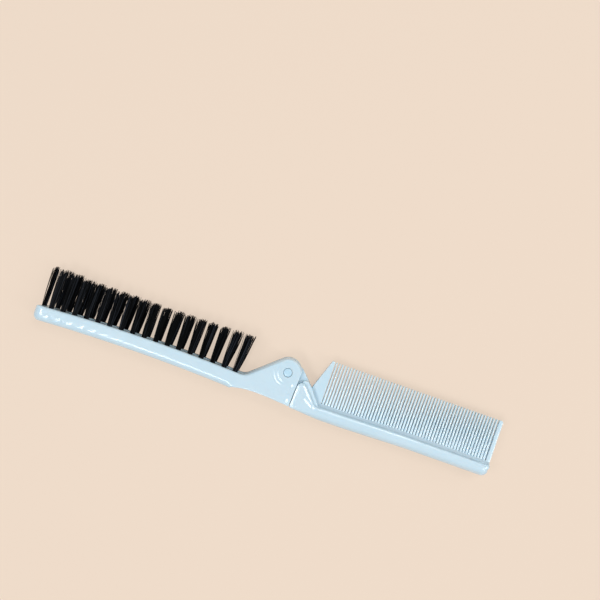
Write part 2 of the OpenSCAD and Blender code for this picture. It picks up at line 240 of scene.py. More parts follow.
def bow(start: Vector, middle: Vector, end: Vector, t: float) -> Vector:
    """Returns the place a share t along a curve from start to end that bends at the middle."""
    return start * (1 - t) ** 2 + middle * (2 * t * (1 - t)) + end * t ** 2


def soften(points: list[Vector], corner: int, reach: int) -> list[Vector]:
    """Rounds one corner of a closed outline with a smooth curve.

    Args:
        points: The outline.
        corner: Index of the corner.
        reach: How many points on each side take part.

    Returns:
        The outline with that corner rounded.
    """
    n = len(points)
    a, m, b = points[(corner - reach) % n], points[corner], points[(corner + reach) % n]
    result = list(points)
    for k in range(-reach, reach + 1):
        result[(corner + k) % n] = bow(a, m, b, (k + reach) / (2 * reach))
    return result


class Outline:
    """A plate's outline, laid one station after another."""

    def __init__(self) -> None:
        """Starts an empty outline."""
        self.found: list[Station] = []

    def put(self, rim: Vector, crease: Vector, edge: Edge) -> None:
        """Adds one station."""
        self.found.append(Station(rim, crease, edge))

    def follow(self, rims: list[Vector], creases: list[Vector], first: Edge, last: Edge) -> None:
        """Adds a run of stations whose turn goes from the first to the last."""
        for k, (rim, crease) in enumerate(zip(rims, creases)):
            self.put(rim, crease, blend_edges(first, last, ease(0, len(rims), k)))

    def softened(self, corners: Sequence[tuple[int, int]]) -> list[Station]:
        """Rounds some of the corners.

        Args:
            corners: Index and reach of each corner.

        Returns:
            The stations in order.
        """
        rims, creases = [s.rim for s in self.found], [s.crease for s in self.found]
        for at, reach in corners:
            rims, creases = soften(rims, at, reach), soften(creases, at, reach)
        return [Station(rim, crease, s.edge) for rim, crease, s in zip(rims, creases, self.found)]


class Shell:
    """Corners and faces of one closed skin, in millimetres from the hinge axis."""

    def __init__(self) -> None:
        """Starts an empty skin."""
        self.points: list[Vector] = []
        self.faces: list[tuple[int, ...]] = []

    def add(self, x: float, y: float, z: float) -> int:
        """Adds a corner and returns its number."""
        self.points.append(Vector((x, y, z)))
        return len(self.points) - 1

    def band(self, a: Sequence[int], b: Sequence[int]) -> None:
        """Joins two closed rings of the same length with a band of faces."""
        n = len(a)
        self.faces += [(a[i], a[(i + 1) % n], b[(i + 1) % n], b[i]) for i in range(n)]

    def tube(self, rings: Sequence[Sequence[int]], capped: bool = False) -> None:
        """Joins rings one after another.

        Args:
            rings: The rings, all of the same length.
            capped: Closes both ends as well.
        """
        for a, b in zip(rings, rings[1:]):
            self.band(a, b)
        if capped:
            self.faces += [tuple(rings[0]), tuple(rings[-1])]

    def fan(self, ring: Sequence[int], x: float, y: float, z: float) -> None:
        """Closes a ring with triangles round one new corner."""
        tip = self.add(x, y, z)
        self.faces += [(ring[i], ring[(i + 1) % len(ring)], tip) for i in range(len(ring))]

    def mesh(self, name: str, origin: Vector = HINGE) -> bpy.types.Mesh:
        """Makes the mesh, in metres in the row frame.

        Args:
            name: Name of the mesh.
            origin: Place of the skin's own origin, in metres.

        Returns:
            The mesh, with its doubles merged and its normals pointing outwards.
        """
        mesh = bpy.data.meshes.new(name)
        mesh.from_pydata([p * MM + origin for p in self.points], [], self.faces)
        work = bmesh.new()
        work.from_mesh(mesh)
        bmesh.ops.remove_doubles(work, verts=work.verts, dist=DOUBLE_D)
        bmesh.ops.dissolve_degenerate(work, dist=SLIVER_D, edges=work.edges)
        bmesh.ops.recalc_face_normals(work, faces=work.faces)
        work.to_mesh(mesh)
        work.free()
        return mesh

    def object(self, name: str) -> Piece:
        """Makes an object of the skin and links it to the scene."""
        return link(name, self.mesh(name))


def link(name: str, data: bpy.types.ID) -> Piece:
    """Makes an object at the origin and links it to the scene.

    Args:
        name: Name of the object.
        data: Its mesh, light or camera.

    Returns:
        The linked object.
    """
    made = bpy.data.objects.new(name, data)
    bpy.context.scene.collection.objects.link(made)
    return made


def discard(piece: Piece) -> None:
    """Removes an object together with its mesh."""
    used = piece.data
    bpy.data.objects.remove(piece)
    bpy.data.meshes.remove(used)


def settle(piece: Piece) -> None:
    """Applies a piece's modifiers to its mesh and removes them.

    Args:
        piece: The piece to settle.
    """
    bpy.context.view_layer.update()
    graph = bpy.context.evaluated_depsgraph_get()
    mesh = bpy.data.meshes.new_from_object(piece.evaluated_get(graph))
    piece.modifiers.clear()
    old = piece.data
    piece.data = mesh
    mesh.name = piece.name
    bpy.data.meshes.remove(old)


def combine(piece: Piece, other: Piece, cut: Cut) -> None:
    """Joins a closed solid into a piece, or takes it away, and removes it.

    Args:
        piece: The piece that is changed.
        other: The solid that is joined or taken away.
        cut: Which of the two is done.

    Raises:
        RuntimeError: When Blender leaves the piece as it was.
    """
    before = len(piece.data.vertices)
    step = piece.modifiers.new("combine", "BOOLEAN")
    step.operation = cut.value
    step.object = other
    step.solver = "MANIFOLD"
    settle(piece)
    if len(piece.data.vertices) == before:
        raise RuntimeError(f"{other.name} did not change {piece.name}")
    discard(other)


def smooth(piece: Piece) -> None:
    """Shades a piece smooth, and keeps its real corners crisp.

    Args:
        piece: The piece whose mesh is shaded.
    """
    work = bmesh.new()
    work.from_mesh(piece.data)
    bmesh.ops.remove_doubles(work, verts=work.verts, dist=SEAM_D)
    for face in work.faces:
        face.smooth = True
    for edge in work.edges:
        edge.smooth = edge.is_manifold and edge.calc_face_angle(0.0) < SMOOTH_ANGLE
    work.to_mesh(piece.data)
    work.free()


def place(piece: Piece, finish: Finish, body: Body, slot: Slot, *nodes: str) -> None:
    """Gives a piece its finish and its body, and hides the CAD nodes that it stands for.

    Args:
        piece: The finished piece.
        finish: Its material.
        body: The body that it rides on.
        slot: The record's slot that its finish belongs to; not used.
        nodes: Names of the CAD nodes that it replaces.
    """
    piece.data.materials.clear()
    piece.data.materials.append(finish)
    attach(piece, body.value)
    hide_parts(*nodes)
    log.info("%s: %d faces, rides %s", piece.name, len(piece.data.polygons), body.value)


@dataclass(frozen=True)
class Plate:
    """A closed solid with two mirrored side faces and a rounded or bevelled rim.

    Attributes:
        stations: The outline, in order.
        surface: Height of the low side face at a place, from z = 0.
        steps: Number of steps across the rim's turn.
        wall_steps: Number of steps across the wall.
        spacing: Distance between the points inside the side face.
        extra: More places inside the side face.
        row_share: Distance between two rows of those points, as a share of the spacing.
        clear_share: Their least distance from the outline, as a share of the spacing.
    """

    stations: list[Station]
    surface: Surface
    steps: int = 7
    wall_steps: int = 2
    spacing: float = 0.6
    extra: tuple[tuple[float, float], ...] = ()
    row_share: float = 0.87
    clear_share: float = 0.45

    def grid(self, loop: list[Vector]) -> list[Vector]:
        """Lays points inside the side face, clear of its outline.

        Args:
            loop: Outline of the side face.

        Returns:
            The points.
        """
        low_x, high_x = min(p.x for p in loop), max(p.x for p in loop)
        low_y, high_y = min(p.y for p in loop), max(p.y for p in loop)
        places = []
        row = 0
        y = low_y
        while y < high_y:
            x = low_x + (row % 2) * self.spacing / 2
            while x < high_x:
                places.append((x, y))
                x += self.spacing
            y += self.spacing * self.row_share
            row += 1
        clear = self.spacing * self.clear_share
        near = {}
        for p in loop:
            near.setdefault((round(p.x), round(p.y)), []).append(p)
        cells = [(i, j) for i in (-1, 0, 1) for j in (-1, 0, 1)]
        kept = []
        for x, y in [*places, *self.extra]:
            around = [p for i, j in cells for p in near.get((round(x) + i, round(y) + j), ())]
            if all((p.x - x) ** 2 + (p.y - y) ** 2 > clear ** 2 for p in around) and inside(loop, x, y):
                kept.append(Vector((x, y)))
        return kept

    def build(self) -> Shell:
        """Builds the closed skin.

        Returns:
            The skin, whose normals are made to agree when its mesh is made.
        """
        shell = Shell()
        profiles = [s.edge.profile(self.steps) for s in self.stations]
        crease = [s.crease for s in self.stations]
        n = len(crease)
        spots, _, triangles, sources, _, _ = delaunay_2d_cdt(
            crease + self.grid(crease), [], [list(range(n))], 1, SAME_SPOT)
        walls = []
        for high in (False, True):
            rings = []
            for k in range(self.steps + 1):
                ring = []
                for station, profile in zip(self.stations, profiles):
                    share, drop = profile[k]
                    p = station.rim.lerp(station.crease, share)
                    z = self.surface(p.x, p.y) + station.edge.depth * drop
                    ring.append(shell.add(p.x, p.y, BODY_T - z if high else z))
                rings.append(ring)
            shell.tube(rings)
            number = {}
            for i, (spot, source) in enumerate(zip(spots, sources)):
                on_ring = [s for s in source if s < n]
                z = self.surface(spot.x, spot.y)
                number[i] = rings[-1][on_ring[0]] if on_ring else shell.add(
                    spot.x, spot.y, BODY_T - z if high else z)
            shell.faces += [tuple(number[i] for i in t) for t in triangles]
            walls.append(rings[0])
        between = [[shell.add(*shell.points[a].lerp(shell.points[b], t)) for a, b in zip(*walls)]
                   for t in shares(self.wall_steps)[1:]]
        shell.tube([walls[0], *between, walls[1]])
        return shell


@dataclass(frozen=True)
class Layout:
    """Sizes that the brush and the comb share, in millimetres from the hinge axis."""

    brush_l: float = 100.7
    comb_l: float = 86.0
    back_y: float = -12.2
    back_crown_x: float = -57.0
    back_bend: float = 0.00068
    top_y: float = -5.85
    top_crown_x: float = -50.0
    top_bend: float = 0.0007
    waist_h: float = 1.4
    waist_skew: float = 0.625
    neck_l: float = 15.8
    cheek_r: float = 5.4
    cheek_bevel: float = 0.75
    cheek_drop: float = 1.15
    cheek_round: float = 0.3
    stop_l: float = 5.0
    stop_bevel: float = 0.3
    stop_lean: float = 0.5
    stop_gap: float = 0.3
    slot_w: float = 3.8
    slot_floor: float = -10.2
    slot_end_x: float = -88.5
    bridge_x: float = -13.0
    bridge_y: float = -6.5
    tongue_t: float = 3.2
    tuft_n: int = 17
    first_x: float = -94.7
    last_x: float = -19.5
    end_tuft_x: float = -98.8
    lean: float = 4.0
    lean_from_x: float = -45.0
    lean_power: float = 2.1
    hole_d: float = 2.0
    hole_depth: float = 3.2
    tip_y: float = 9.7

    def back_at(self, x: float) -> float:
        """Returns the height of the rails' back at x."""
        return self.back_y - self.back_bend * (x - self.back_crown_x) ** 2

    def top_at(self, x: float) -> float:
        """Returns the height of the rails' top at x."""
        return self.top_y - self.top_bend * (x - self.top_crown_x) ** 2

    @property
    def foot(self) -> Vector:
        """Foot of the slope, on the rails' top."""
        return Vector((-self.neck_l, self.top_at(-self.neck_l)))

    @cached_property
    def slope_a(self) -> float:
        """Angle at which the slope meets the cheeks' circle."""
        foot = self.foot
        return math.atan2(foot.y, foot.x) + math.tau - math.acos(self.cheek_r / foot.length)

    @cached_property
    def slope_dir(self) -> Vector:
        """Direction from the hinge to the slope, square to it."""
        return toward_angle(self.slope_a)

    def stop_x(self, y: float) -> float:
        """Returns the place of the cheeks' end faces at height y."""
        return self.stop_l - self.stop_lean * y / self.back_y

    @cached_property
    def stop_top(self) -> Vector:
        """Returns the corner where the cheeks' end faces meet their round."""
        slope = -self.stop_lean / self.back_y
        base = self.stop_l * slope
        size = 1 + slope ** 2
        y = (math.sqrt(base ** 2 - size * (self.stop_l ** 2 - self.cheek_r ** 2)) - base) / size
        return Vector((self.stop_x(y), y))

    def root_x(self, y: float) -> float:
        """Returns the place of the comb's end face at height y."""
        return self.stop_x(y) + self.stop_gap

    def waist_y(self, t: float) -> float:
        """Returns the height of the back a share t of the way along the waist."""
        flat = mix(self.back_at(self.last_x), self.back_y, t)
        return flat + self.waist_h * math.sin(math.pi * t ** self.waist_skew)

    def tuft_x(self, i: int) -> float:
        """Returns the place of tuft i, counted from 1 at the far end."""
        return mix(self.first_x, self.last_x, (i - 1) / (self.tuft_n - 1))

    def tuft_lean(self, i: int) -> float:
        """Returns how far tuft i leans towards the comb, in degrees."""
        return self.lean * ramp(self.lean_from_x, self.last_x, self.tuft_x(i)) ** self.lean_power

    @cached_property
    def tuft_pitch(self) -> float:
        """Distance between two tufts of a row."""
        return (self.last_x - self.first_x) / (self.tuft_n - 1)

    @cached_property
    def rows(self) -> dict[str, float]:
        """Height of each row of tufts along the hinge pin."""
        rail_w = (BODY_T - self.slot_w) / 2
        return {"lower": rail_w / 2, "upper": BODY_T - rail_w / 2}


LAYOUT = Layout()


class Tree:
    """A node tree that is built one node at a time."""

    def __init__(self, group: bpy.types.NodeTree) -> None:
        """Starts on a tree, whose old nodes it clears."""
        self.group = group
        self.group.nodes.clear()

    def node(self, kind: str, inputs: dict[str | int, object] | None = None,
             **settings: object) -> bpy.types.Node:
        """Adds a node.

        Args:
            kind: Its type.
            inputs: Values or output sockets for its inputs, by name or number.
            settings: Its own properties.

        Returns:
            The node.
        """
        made = self.group.nodes.new(kind)
        for key, value in settings.items():
            setattr(made, key, value)
        for key, value in (inputs or {}).items():
            socket = made.inputs[key]
            if isinstance(value, Socket):
                self.group.links.new(value, socket)
            else:
                socket.default_value = value
        return made

    def sockets(self, kinds: dict[str, str], result: str) -> bpy.types.bpy_prop_collection:
        """Declares what a geometry tree takes and the shape that it gives.

        Args:
            kinds: Type of each input, by name.
            result: Name of the shape.

        Returns:
            The outputs of the tree's input node.
        """
        for name, kind in kinds.items():
            self.group.interface.new_socket(name, in_out="INPUT", socket_type="NodeSocket" + kind)
        self.group.interface.new_socket(result, in_out="OUTPUT", socket_type="NodeSocketGeometry")
        return self.node("NodeGroupInput").outputs

    def dress(self, shape: Socket, finish: Socket, result: str) -> None:
        """Gives a shape its material and makes it the tree's result of that name."""
        dressed = self.node("GeometryNodeSetMaterial", {"Geometry": shape, "Material": finish}).outputs[0]
        self.node("NodeGroupOutput", {result: dressed})

    def math(self, operation: str, *values: object) -> Socket:
        """Adds a sum of numbers and returns its result."""
        return self.node("ShaderNodeMath", dict(enumerate(values)), operation=operation).outputs[0]

    def vector(self, operation: str, *values: object) -> Socket:
        """Adds a sum of vectors and returns its result."""
        return self.node("ShaderNodeVectorMath", dict(enumerate(values)), operation=operation).outputs[0]

    def xyz(self, **axes: object) -> Socket:
        """Puts numbers together into a vector."""
        return self.node("ShaderNodeCombineXYZ", axes).outputs[0]

    def position(self, axis: str) -> Socket:
        """Returns each point's place along an axis."""
        place = self.node("GeometryNodeInputPosition").outputs[0]
        return self.node("ShaderNodeSeparateXYZ", {0: place}).outputs[axis]

    def store(self, shape: Socket, name: str, value: Socket,
              domain: str) -> Socket:
        """Keeps a number on a shape under a name, and returns the shape."""
        return self.node("GeometryNodeStoreNamedAttribute", {"Geometry": shape, "Name": name, "Value": value},
                         data_type="FLOAT", domain=domain).outputs[0]

    def named(self, name: str) -> Socket:
        """Returns the number that a shape keeps under a name."""
        return self.node("GeometryNodeInputNamedAttribute", {"Name": name}, data_type="FLOAT").outputs[0]

    def seen(self) -> Socket:
        """Returns 1 where the camera itself looks, and 0 for all other light."""
        return self.node("ShaderNodeLightPath").outputs["Is Camera Ray"]

    def cloud(self, place: Socket, scale: float, detail: float) -> Socket:
        """Returns the strength of soft noise."""
        made = self.node("ShaderNodeTexNoise", {"Vector": place, "Scale": scale, "Detail": detail})
        return made.outputs["Fac"]

    def span(self, value: Socket, low: float, high: float, first: float = 0.0,
             last: float = 1.0) -> Socket:
        """Maps a number that goes from first to last onto low to high."""
        return self.node("ShaderNodeMapRange", {
            "Value": value, "From Min": first, "From Max": last, "To Min": low, "To Max": high}).outputs[0]

    def blend(self, share: Socket, first: Colour, second: Colour) -> Socket:
        """Blends two colours by a share."""
        return self.node("ShaderNodeMix", {"Factor": share, 6: first, 7: second}, data_type="RGBA").outputs[2]

    def bump(self, height: Socket, strength: float, depth: float,
             **more: Socket) -> Socket:
        """Turns a height into unevenness of a depth in millimetres, and returns where it faces."""
        return self.node("ShaderNodeBump", {
            "Height": height, "Strength": strength, "Distance": depth * MM, **more}).outputs[0]

    def surface(self, inputs: dict[str | int, object]) -> None:
        """Makes a surface from values for its inputs, and makes it the tree's result."""
        skin = self.node("ShaderNodeBsdfPrincipled", inputs)
        self.node("ShaderNodeOutputMaterial", {"Surface": skin.outputs[0]})


def srgb(red: int, green: int, blue: int) -> Colour:
    """Turns a colour as a screen shows it into a linear one.

    Args:
        red: Red, from 0 to 255.
        green: Green, from 0 to 255.
        blue: Blue, from 0 to 255.

    Returns:
        The colour with full opacity.
    """
    parts = [c / 255 for c in (red, green, blue)]
    line = [c / 12.92 if c <= 0.04045 else ((c + 0.055) / 1.055) ** 2.4 for c in parts]
    return (line[0], line[1], line[2], 1.0)


def new_material(name: str) -> tuple[Finish, Tree]:
    """Makes an empty material and returns it with the tree of its nodes."""
    material = bpy.data.materials.new(name)
    material.use_nodes = True
    return material, Tree(material.node_tree)


@dataclass(frozen=True)
class MouldedPlastic:
    """Pale glossy moulded plastic, with slow drifts of tint and a faint moulded skin.

    Attributes:
        name: Name of the material.
        tint: The main colour.
        drift: The colour that it drifts towards.
        roughness: Middle value of the gloss.
        play: How far the gloss strays from it.
        subsurface: Share of the light that soaks in.
        soak: How far each colour of it soaks in, as a share.
        soak_depth: How far that light goes, in millimetres.
        swell_depth: Depth of the broad unevenness, in millimetres.
        grain_depth: Depth of the fine grain, in millimetres.
        drift_scale: How often the tint drifts, for each metre.
        wear_scale: How often the gloss changes.
        swell_scale: How often the broad unevenness comes.
        grain_scale: How often the fine grain comes.
    """

    name: str
    tint: Colour
    drift: Colour
    roughness: float = 0.14
    play: float = 0.03
    subsurface: float = 0.35
    soak: tuple[float, float, float] = (0.7, 0.9, 1.0)
    soak_depth: float = 1.2
    swell_depth: float = 0.01
    grain_depth: float = 0.0016
    drift_scale: float = 70.0
    wear_scale: float = 300.0
    swell_scale: float = 330.0
    grain_scale: float = 2600.0

    def build(self) -> Finish:
        """Builds the material.

        Returns:
            The material.
        """
        material, tree = new_material(self.name)
        place = tree.node("ShaderNodeTexCoord").outputs["Object"]
        share = tree.span(tree.cloud(place, self.drift_scale, 3.0), 0.0, 1.0, 0.35, 0.65)
        tint = tree.blend(share, self.tint, self.drift)
        wear = tree.cloud(place, self.wear_scale, 2.0)
        gloss = tree.span(wear, self.roughness - self.play, self.roughness + self.play, 0.3, 0.7)
        swell = tree.bump(tree.cloud(place, self.swell_scale, 1.0), 0.5, self.swell_depth)
        grain = tree.bump(tree.cloud(place, self.grain_scale, 2.0), 0.15, self.grain_depth, Normal=swell)
        tree.surface({
            "Base Color": tint, "Roughness": gloss, "Normal": grain, "IOR": 1.5,
            "Subsurface Weight": self.subsurface, "Subsurface Scale": self.soak_depth * MM,
            "Subsurface Radius": self.soak})
        return material


@dataclass(frozen=True)
class Nylon:
    """Black nylon bristle, with gloss that differs from strand to strand and a cool highlight painted into
    the base colour of a few strands.
    """

    name: str = "black_nylon"
    tint: Colour = (0.0016, 0.0018, 0.002, 1.0)
    painted_highlight: Colour = (0.035, 0.042, 0.055, 1.0)
    painted_highlight_power: float = 6.0
    dull: float = 0.5
    bright: float = 0.3
    sheen: float = 0.16

    def build(self) -> Finish:
        """Builds the material.

        Returns:
            The material.
        """
        material, tree = new_material(self.name)
        tone = tree.node("ShaderNodeAttribute", attribute_name="strand_draw").outputs["Fac"]
        # Painted highlight: strands with a high draw get a cool highlight colour blended into their black
        # base colour.
        tint = tree.blend(tree.math("POWER", tone, self.painted_highlight_power), self.tint, self.painted_highlight)
        tree.surface({
            "Base Color": tint, "Roughness": tree.span(tone, self.dull, self.bright), "IOR": 1.45,
            "Specular IOR Level": self.sheen})
        return material


@dataclass(frozen=True)
class AnchorMetal:
    """Bright drawn strip of the tuft anchors, with fine draw marks."""

    name: str = "anchor_strip"
    tint: Colour = (0.62, 0.6, 0.55, 1.0)
    mark_depth: float = 0.005
    mark_scale: tuple[float, float, float] = (6000.0, 6000.0, 300.0)

    def build(self) -> Finish:
        """Builds the material.

        Returns:
            The material.
        """
        material, tree = new_material(self.name)
        place = tree.node("ShaderNodeTexCoord").outputs["Object"]
        drawn = tree.node("ShaderNodeMapping", {"Vector": place, "Scale": self.mark_scale}).outputs[0]
        marks = tree.cloud(drawn, 1.0, 2.0)
        tree.surface({
            "Base Color": self.tint, "Metallic": 1.0, "Roughness": tree.span(marks, 0.2, 0.5),
            "Normal": tree.bump(marks, 0.2, self.mark_depth)})
        return material


@dataclass
class BrushBody:
    """The moulded brush half: two rails round a slot, and the cheeks that hold the pin."""

    layout: Layout = LAYOUT
    back_edge: Edge = Edge(2.3, 2.4)
    top_edge: Edge = Edge(0.9, 0.9)
    end_edge: Edge = Edge(3.2, 3.0)
    waist_edge: Edge = Edge(0.4, 0.4)
    waist_span: Span = (-21.5, -17.0)
    end_back_r: float = 2.5
    end_top_r: float = 1.2
    inner_r: float = 0.5
    head_inset: float = 0.75
    rail_steps: int = 8
    waist_n: int = 48
    stop_n: int = 20
    round_n: int = 40
    slope_n: int = 30
    back_reach: float = 8.0
    top_reach: float = 10.0
    foot_reach: float = 6.0
    neck_span: Span = (-20.0, -26.0)
    far_span: Span = (-60.0, -88.0)
    near_share: float = 0.15
    sink_depth: float = 0.18
    sink_w: float = 0.7
    sink_h: float = 0.65
    sink_shift: float = 0.6
    sink_up: float = 1.9
    swell_depth: float = 0.03
    swell_span: Span = (-26.0, -18.0)
    ring_depth: float = 0.052
    ring_r: float = 4.26
    ring_pitch: float = 1.45
    ring_span: Span = (2.9, 3.5)
    ring_end: Span = (6.4, 5.7)
    ring_first: float = 2.8
    ring_step: float = 0.2
    ring_rows: int = 18
    ring_arc: tuple[int, int, int] = (165, 290, 36)
    ring_toward: tuple[float, float] = (-1.15, -0.8)
    ring_spread: Span = (0.8, 1.25)
    dent: tuple[float, float] = (2.6, -11.2)
    dent_w: float = 0.8
    dent_depth: float = 0.26
    groove_x: float = 2.8
    groove_w: float = 0.5
    groove_depth: float = 0.2
    groove_low: Span = (-8.6, -7.2)
    groove_high: Span = (-3.4, -4.8)
    fine_corner: Span = (1.3, -11.9)
    fine_step: Span = (0.2, 0.25)
    fine_n: tuple[int, int] = (14, 34)
    noise_scale: Span = (0.22, 0.3)
    slot_edge: float = 0.3
    slot_fillet: float = 0.3
    slot_flare: Span = (-2.0, -8.0)
    slot_rise: float = 8.0
    mouth_w: float = 0.09
    mouth_h: float = 0.1
    bore_d: float = 2.62
    seat_d: float = 3.52
    seat_z: float = 9.48
    chamfer: float = 0.12

    @property
    def flat_x(self) -> float:
        """Place where the far end's turn reaches the side face."""
        return -self.layout.brush_l + self.end_edge.inset

    @property
    def low_x(self) -> float:
        """Place where the back meets the far end's round."""
        return -self.layout.brush_l + self.end_back_r

    @property
    def high_x(self) -> float:
        """Place where the top meets the far end's round."""
        return -self.layout.brush_l + self.end_top_r

    @property
    def step(self) -> float:
        """Distance between two stations along the rails."""
        return self.layout.tuft_pitch / self.rail_steps

    @property
    def stop_edge(self) -> Edge:
        """The turn of the cheeks' end faces."""
        return Edge(self.layout.stop_bevel, self.layout.stop_bevel, 0.5)

    @cached_property
    def inner_head(self) -> Vector:
        """Corner of the cheeks' end faces, in the side face."""
        return self.layout.stop_top - Vector((self.layout.stop_bevel, self.head_inset))

    @cached_property
    def inner_foot(self) -> Vector:
        """Returns the foot of the slope in the side face."""
        lay = self.layout
        y = lay.foot.y - self.top_edge.inset
        reach = (lay.slope_dir * (lay.cheek_r - lay.cheek_bevel)).length
        return Vector(((lay.slope_dir.y * y - reach) / -lay.slope_dir.x, y))

    def relief(self, x: float, y: float) -> float:
        """Gives the shallow hollows and swellings that moulding leaves in the side faces.

        Args:
            x: Place along the brush.
            y: Height from the hinge axis.

        Returns:
            Height of the low side face above z = 0.
        """
        lay = self.layout
        deep = ease(*self.neck_span, x) * mix(self.near_share, 1.0, ease(*self.far_span, x))
        turn = (x - lay.first_x - self.sink_shift) / lay.tuft_pitch
        beside = (turn - round(turn)) * lay.tuft_pitch
        height = y - lay.back_at(x) if x < lay.last_x else y - lay.back_y
        marks = self.sink_depth * deep * bell(beside, self.sink_w) * bell(height - self.sink_up, self.sink_h)
        span = math.hypot(x, y)
        toward = (self.ring_toward[0] * x + self.ring_toward[1] * y) / (span + 0.01)
        ring = self.ring_depth * math.cos(math.tau * (span - self.ring_r) / self.ring_pitch)
        ring *= ramp(*self.ring_span, span) * ramp(*self.ring_end, span) * ease(*self.ring_spread, toward)
        drift = noise.noise(Vector((x * self.noise_scale[0], y * self.noise_scale[1], 3.7)))
        broad = self.swell_depth * drift * ease(*self.swell_span, x)
        dent = self.dent_depth * bell(x - self.dent[0], self.dent_w) * bell(y - self.dent[1], self.dent_w)
        groove = self.groove_depth * bell(x - self.groove_x, self.groove_w)
        groove *= ease(*self.groove_low, y) * ease(*self.groove_high, y)
        return marks + ring + broad + dent + groove

    def back_turn(self, x: float) -> Edge:
        """Returns the turn of the back's edge, which fades from the rails to the cheeks."""
        return blend_edges(self.back_edge, self.waist_edge, ease(*self.waist_span, x))

    def lay_back(self, line: Outline) -> None:
        """Lays the back of the rails and the waist under the cheeks.

        Args:
            line: The outline.
        """
        lay = self.layout
        count = round((lay.last_x - self.low_x) / self.step)
        for p in run((self.low_x, 0), (lay.last_x, 0), count):
            y = lay.back_at(p.x)
            edge = self.back_turn(p.x)
            shift = (self.flat_x + self.inner_r - self.low_x) * fade(p.x - self.low_x, self.back_reach)
            line.put(Vector((p.x, y)), Vector((p.x + shift, y + edge.inset)), edge)
        waist_end = lay.stop_x(lay.back_y)
        squeeze = (waist_end - lay.stop_bevel - lay.last_x) / (waist_end - lay.last_x)
        for t in shares(self.waist_n):
            x, y = mix(lay.last_x, waist_end, t), lay.waist_y(t)
            edge = blend_edges(self.back_turn(x), self.stop_edge, ease(0.93, 1.0, t))
            line.put(Vector((x, y)), Vector((lay.last_x + (x - lay.last_x) * squeeze, y + edge.inset)), edge)

    def lay_cheeks(self, line: Outline) -> None:
        """Lays the cheeks' end faces, their round and the slope down to the rails.

        Args:
            line: The outline.
        """
        lay = self.layout
        head, inner_head = lay.stop_top, self.inner_head
        for t in shares(self.stop_n):
            y = mix(lay.back_y, head.y, t)
            x = lay.stop_x(y)
            inner_y = mix(lay.back_y + lay.stop_bevel, inner_head.y, t)
            line.put(Vector((x, y)), Vector((x - lay.stop_bevel, inner_y)), self.stop_edge)
        first_a, inner_a = (math.atan2(p.y, p.x) for p in (head, inner_head))
        for t in shares(self.round_n):
            bevel = mix(lay.cheek_r - inner_head.length, lay.cheek_bevel, ease(0.75, 1.0, t))
            edge = blend_edges(self.stop_edge, Edge(bevel, lay.cheek_drop, lay.cheek_round), ease(0, 0.15, t))
            line.put(toward_angle(mix(first_a, lay.slope_a, t)) * lay.cheek_r,
                     toward_angle(mix(inner_a, lay.slope_a, t)) * (lay.cheek_r - bevel), edge)
        slope_edge = Edge(lay.cheek_bevel, lay.cheek_drop, lay.cheek_round)
        tip, inner_tip = lay.slope_dir * lay.cheek_r, lay.slope_dir * (lay.cheek_r - lay.cheek_bevel)
        for t in shares(self.slope_n):
            edge = blend_edges(slope_edge, self.top_edge, ease(0.88, 1.0, t))
            line.put(tip.lerp(lay.foot, t), inner_tip.lerp(self.inner_foot, t), edge)

    def lay_top(self, line: Outline) -> None:
        """Lays the top of the rails, from the slope's foot to the far end.

        Args:
            line: The outline.
        """
        lay, foot = self.layout, self.layout.foot
        count = round((foot.x - self.high_x) / self.step)
        for p in run((foot.x, 0), (self.high_x, 0), count):
            y = lay.top_at(p.x)
            toward = (self.flat_x + self.inner_r - self.high_x) * fade(p.x - self.high_x, self.top_reach)
            away = (self.inner_foot.x - foot.x) * fade(foot.x - p.x, self.foot_reach)
            line.put(Vector((p.x, y)), Vector((p.x + toward + away, y - self.top_edge.inset)), self.top_edge)

    def lay_end(self, line: Outline) -> None:
        """Lays the far end, from the top down to the back.

        Args:
            line: The outline.
        """
        lay, end_x, flat_x, r = self.layout, -self.layout.brush_l, self.flat_x, self.inner_r
        high, low = lay.top_at(self.high_x), lay.back_at(self.low_x)
        inner_high, inner_low = high - self.top_edge.inset - r, low + self.back_edge.inset + r
        line.follow(arc((self.high_x, high - self.end_top_r), self.end_top_r, 90, 180, 8),
                    arc((flat_x + r, inner_high), r, 90, 180, 8), self.top_edge, self.end_edge)
        line.follow(run((end_x, high - self.end_top_r), (end_x, low + self.end_back_r), 4),
                    run((flat_x, inner_high), (flat_x, inner_low), 4), self.end_edge, self.end_edge)
        line.follow(arc((self.low_x, low + self.end_back_r), self.end_back_r, 180, 270, 12),
                    arc((flat_x + r, inner_low), r, 180, 270, 12), self.end_edge, self.back_edge)

    def stations(self) -> list[Station]:
        """Goes once round the outline, from the far end's lower corner along the back.

        Returns:
            The stations in order.
        """
        line = Outline()
        self.lay_back(line)
        self.lay_cheeks(line)
        corner = len(line.found)
        self.lay_top(line)
        self.lay_end(line)
        return line.softened(((corner, 3),))

    def top_line(self, x: float) -> float:
        """Gives the height of the outline's upper side.

        Args:
            x: Place along the brush.

        Returns:
            The height there.
        """
        lay = self.layout
        if x <= lay.foot.x:
            return lay.top_at(x)
        slope = (lay.cheek_r - x * lay.slope_dir.x) / lay.slope_dir.y
        circle_y = math.sqrt(max(0.0, lay.cheek_r ** 2 - x ** 2))
        return circle_y if x > lay.slope_dir.x * lay.cheek_r else slope

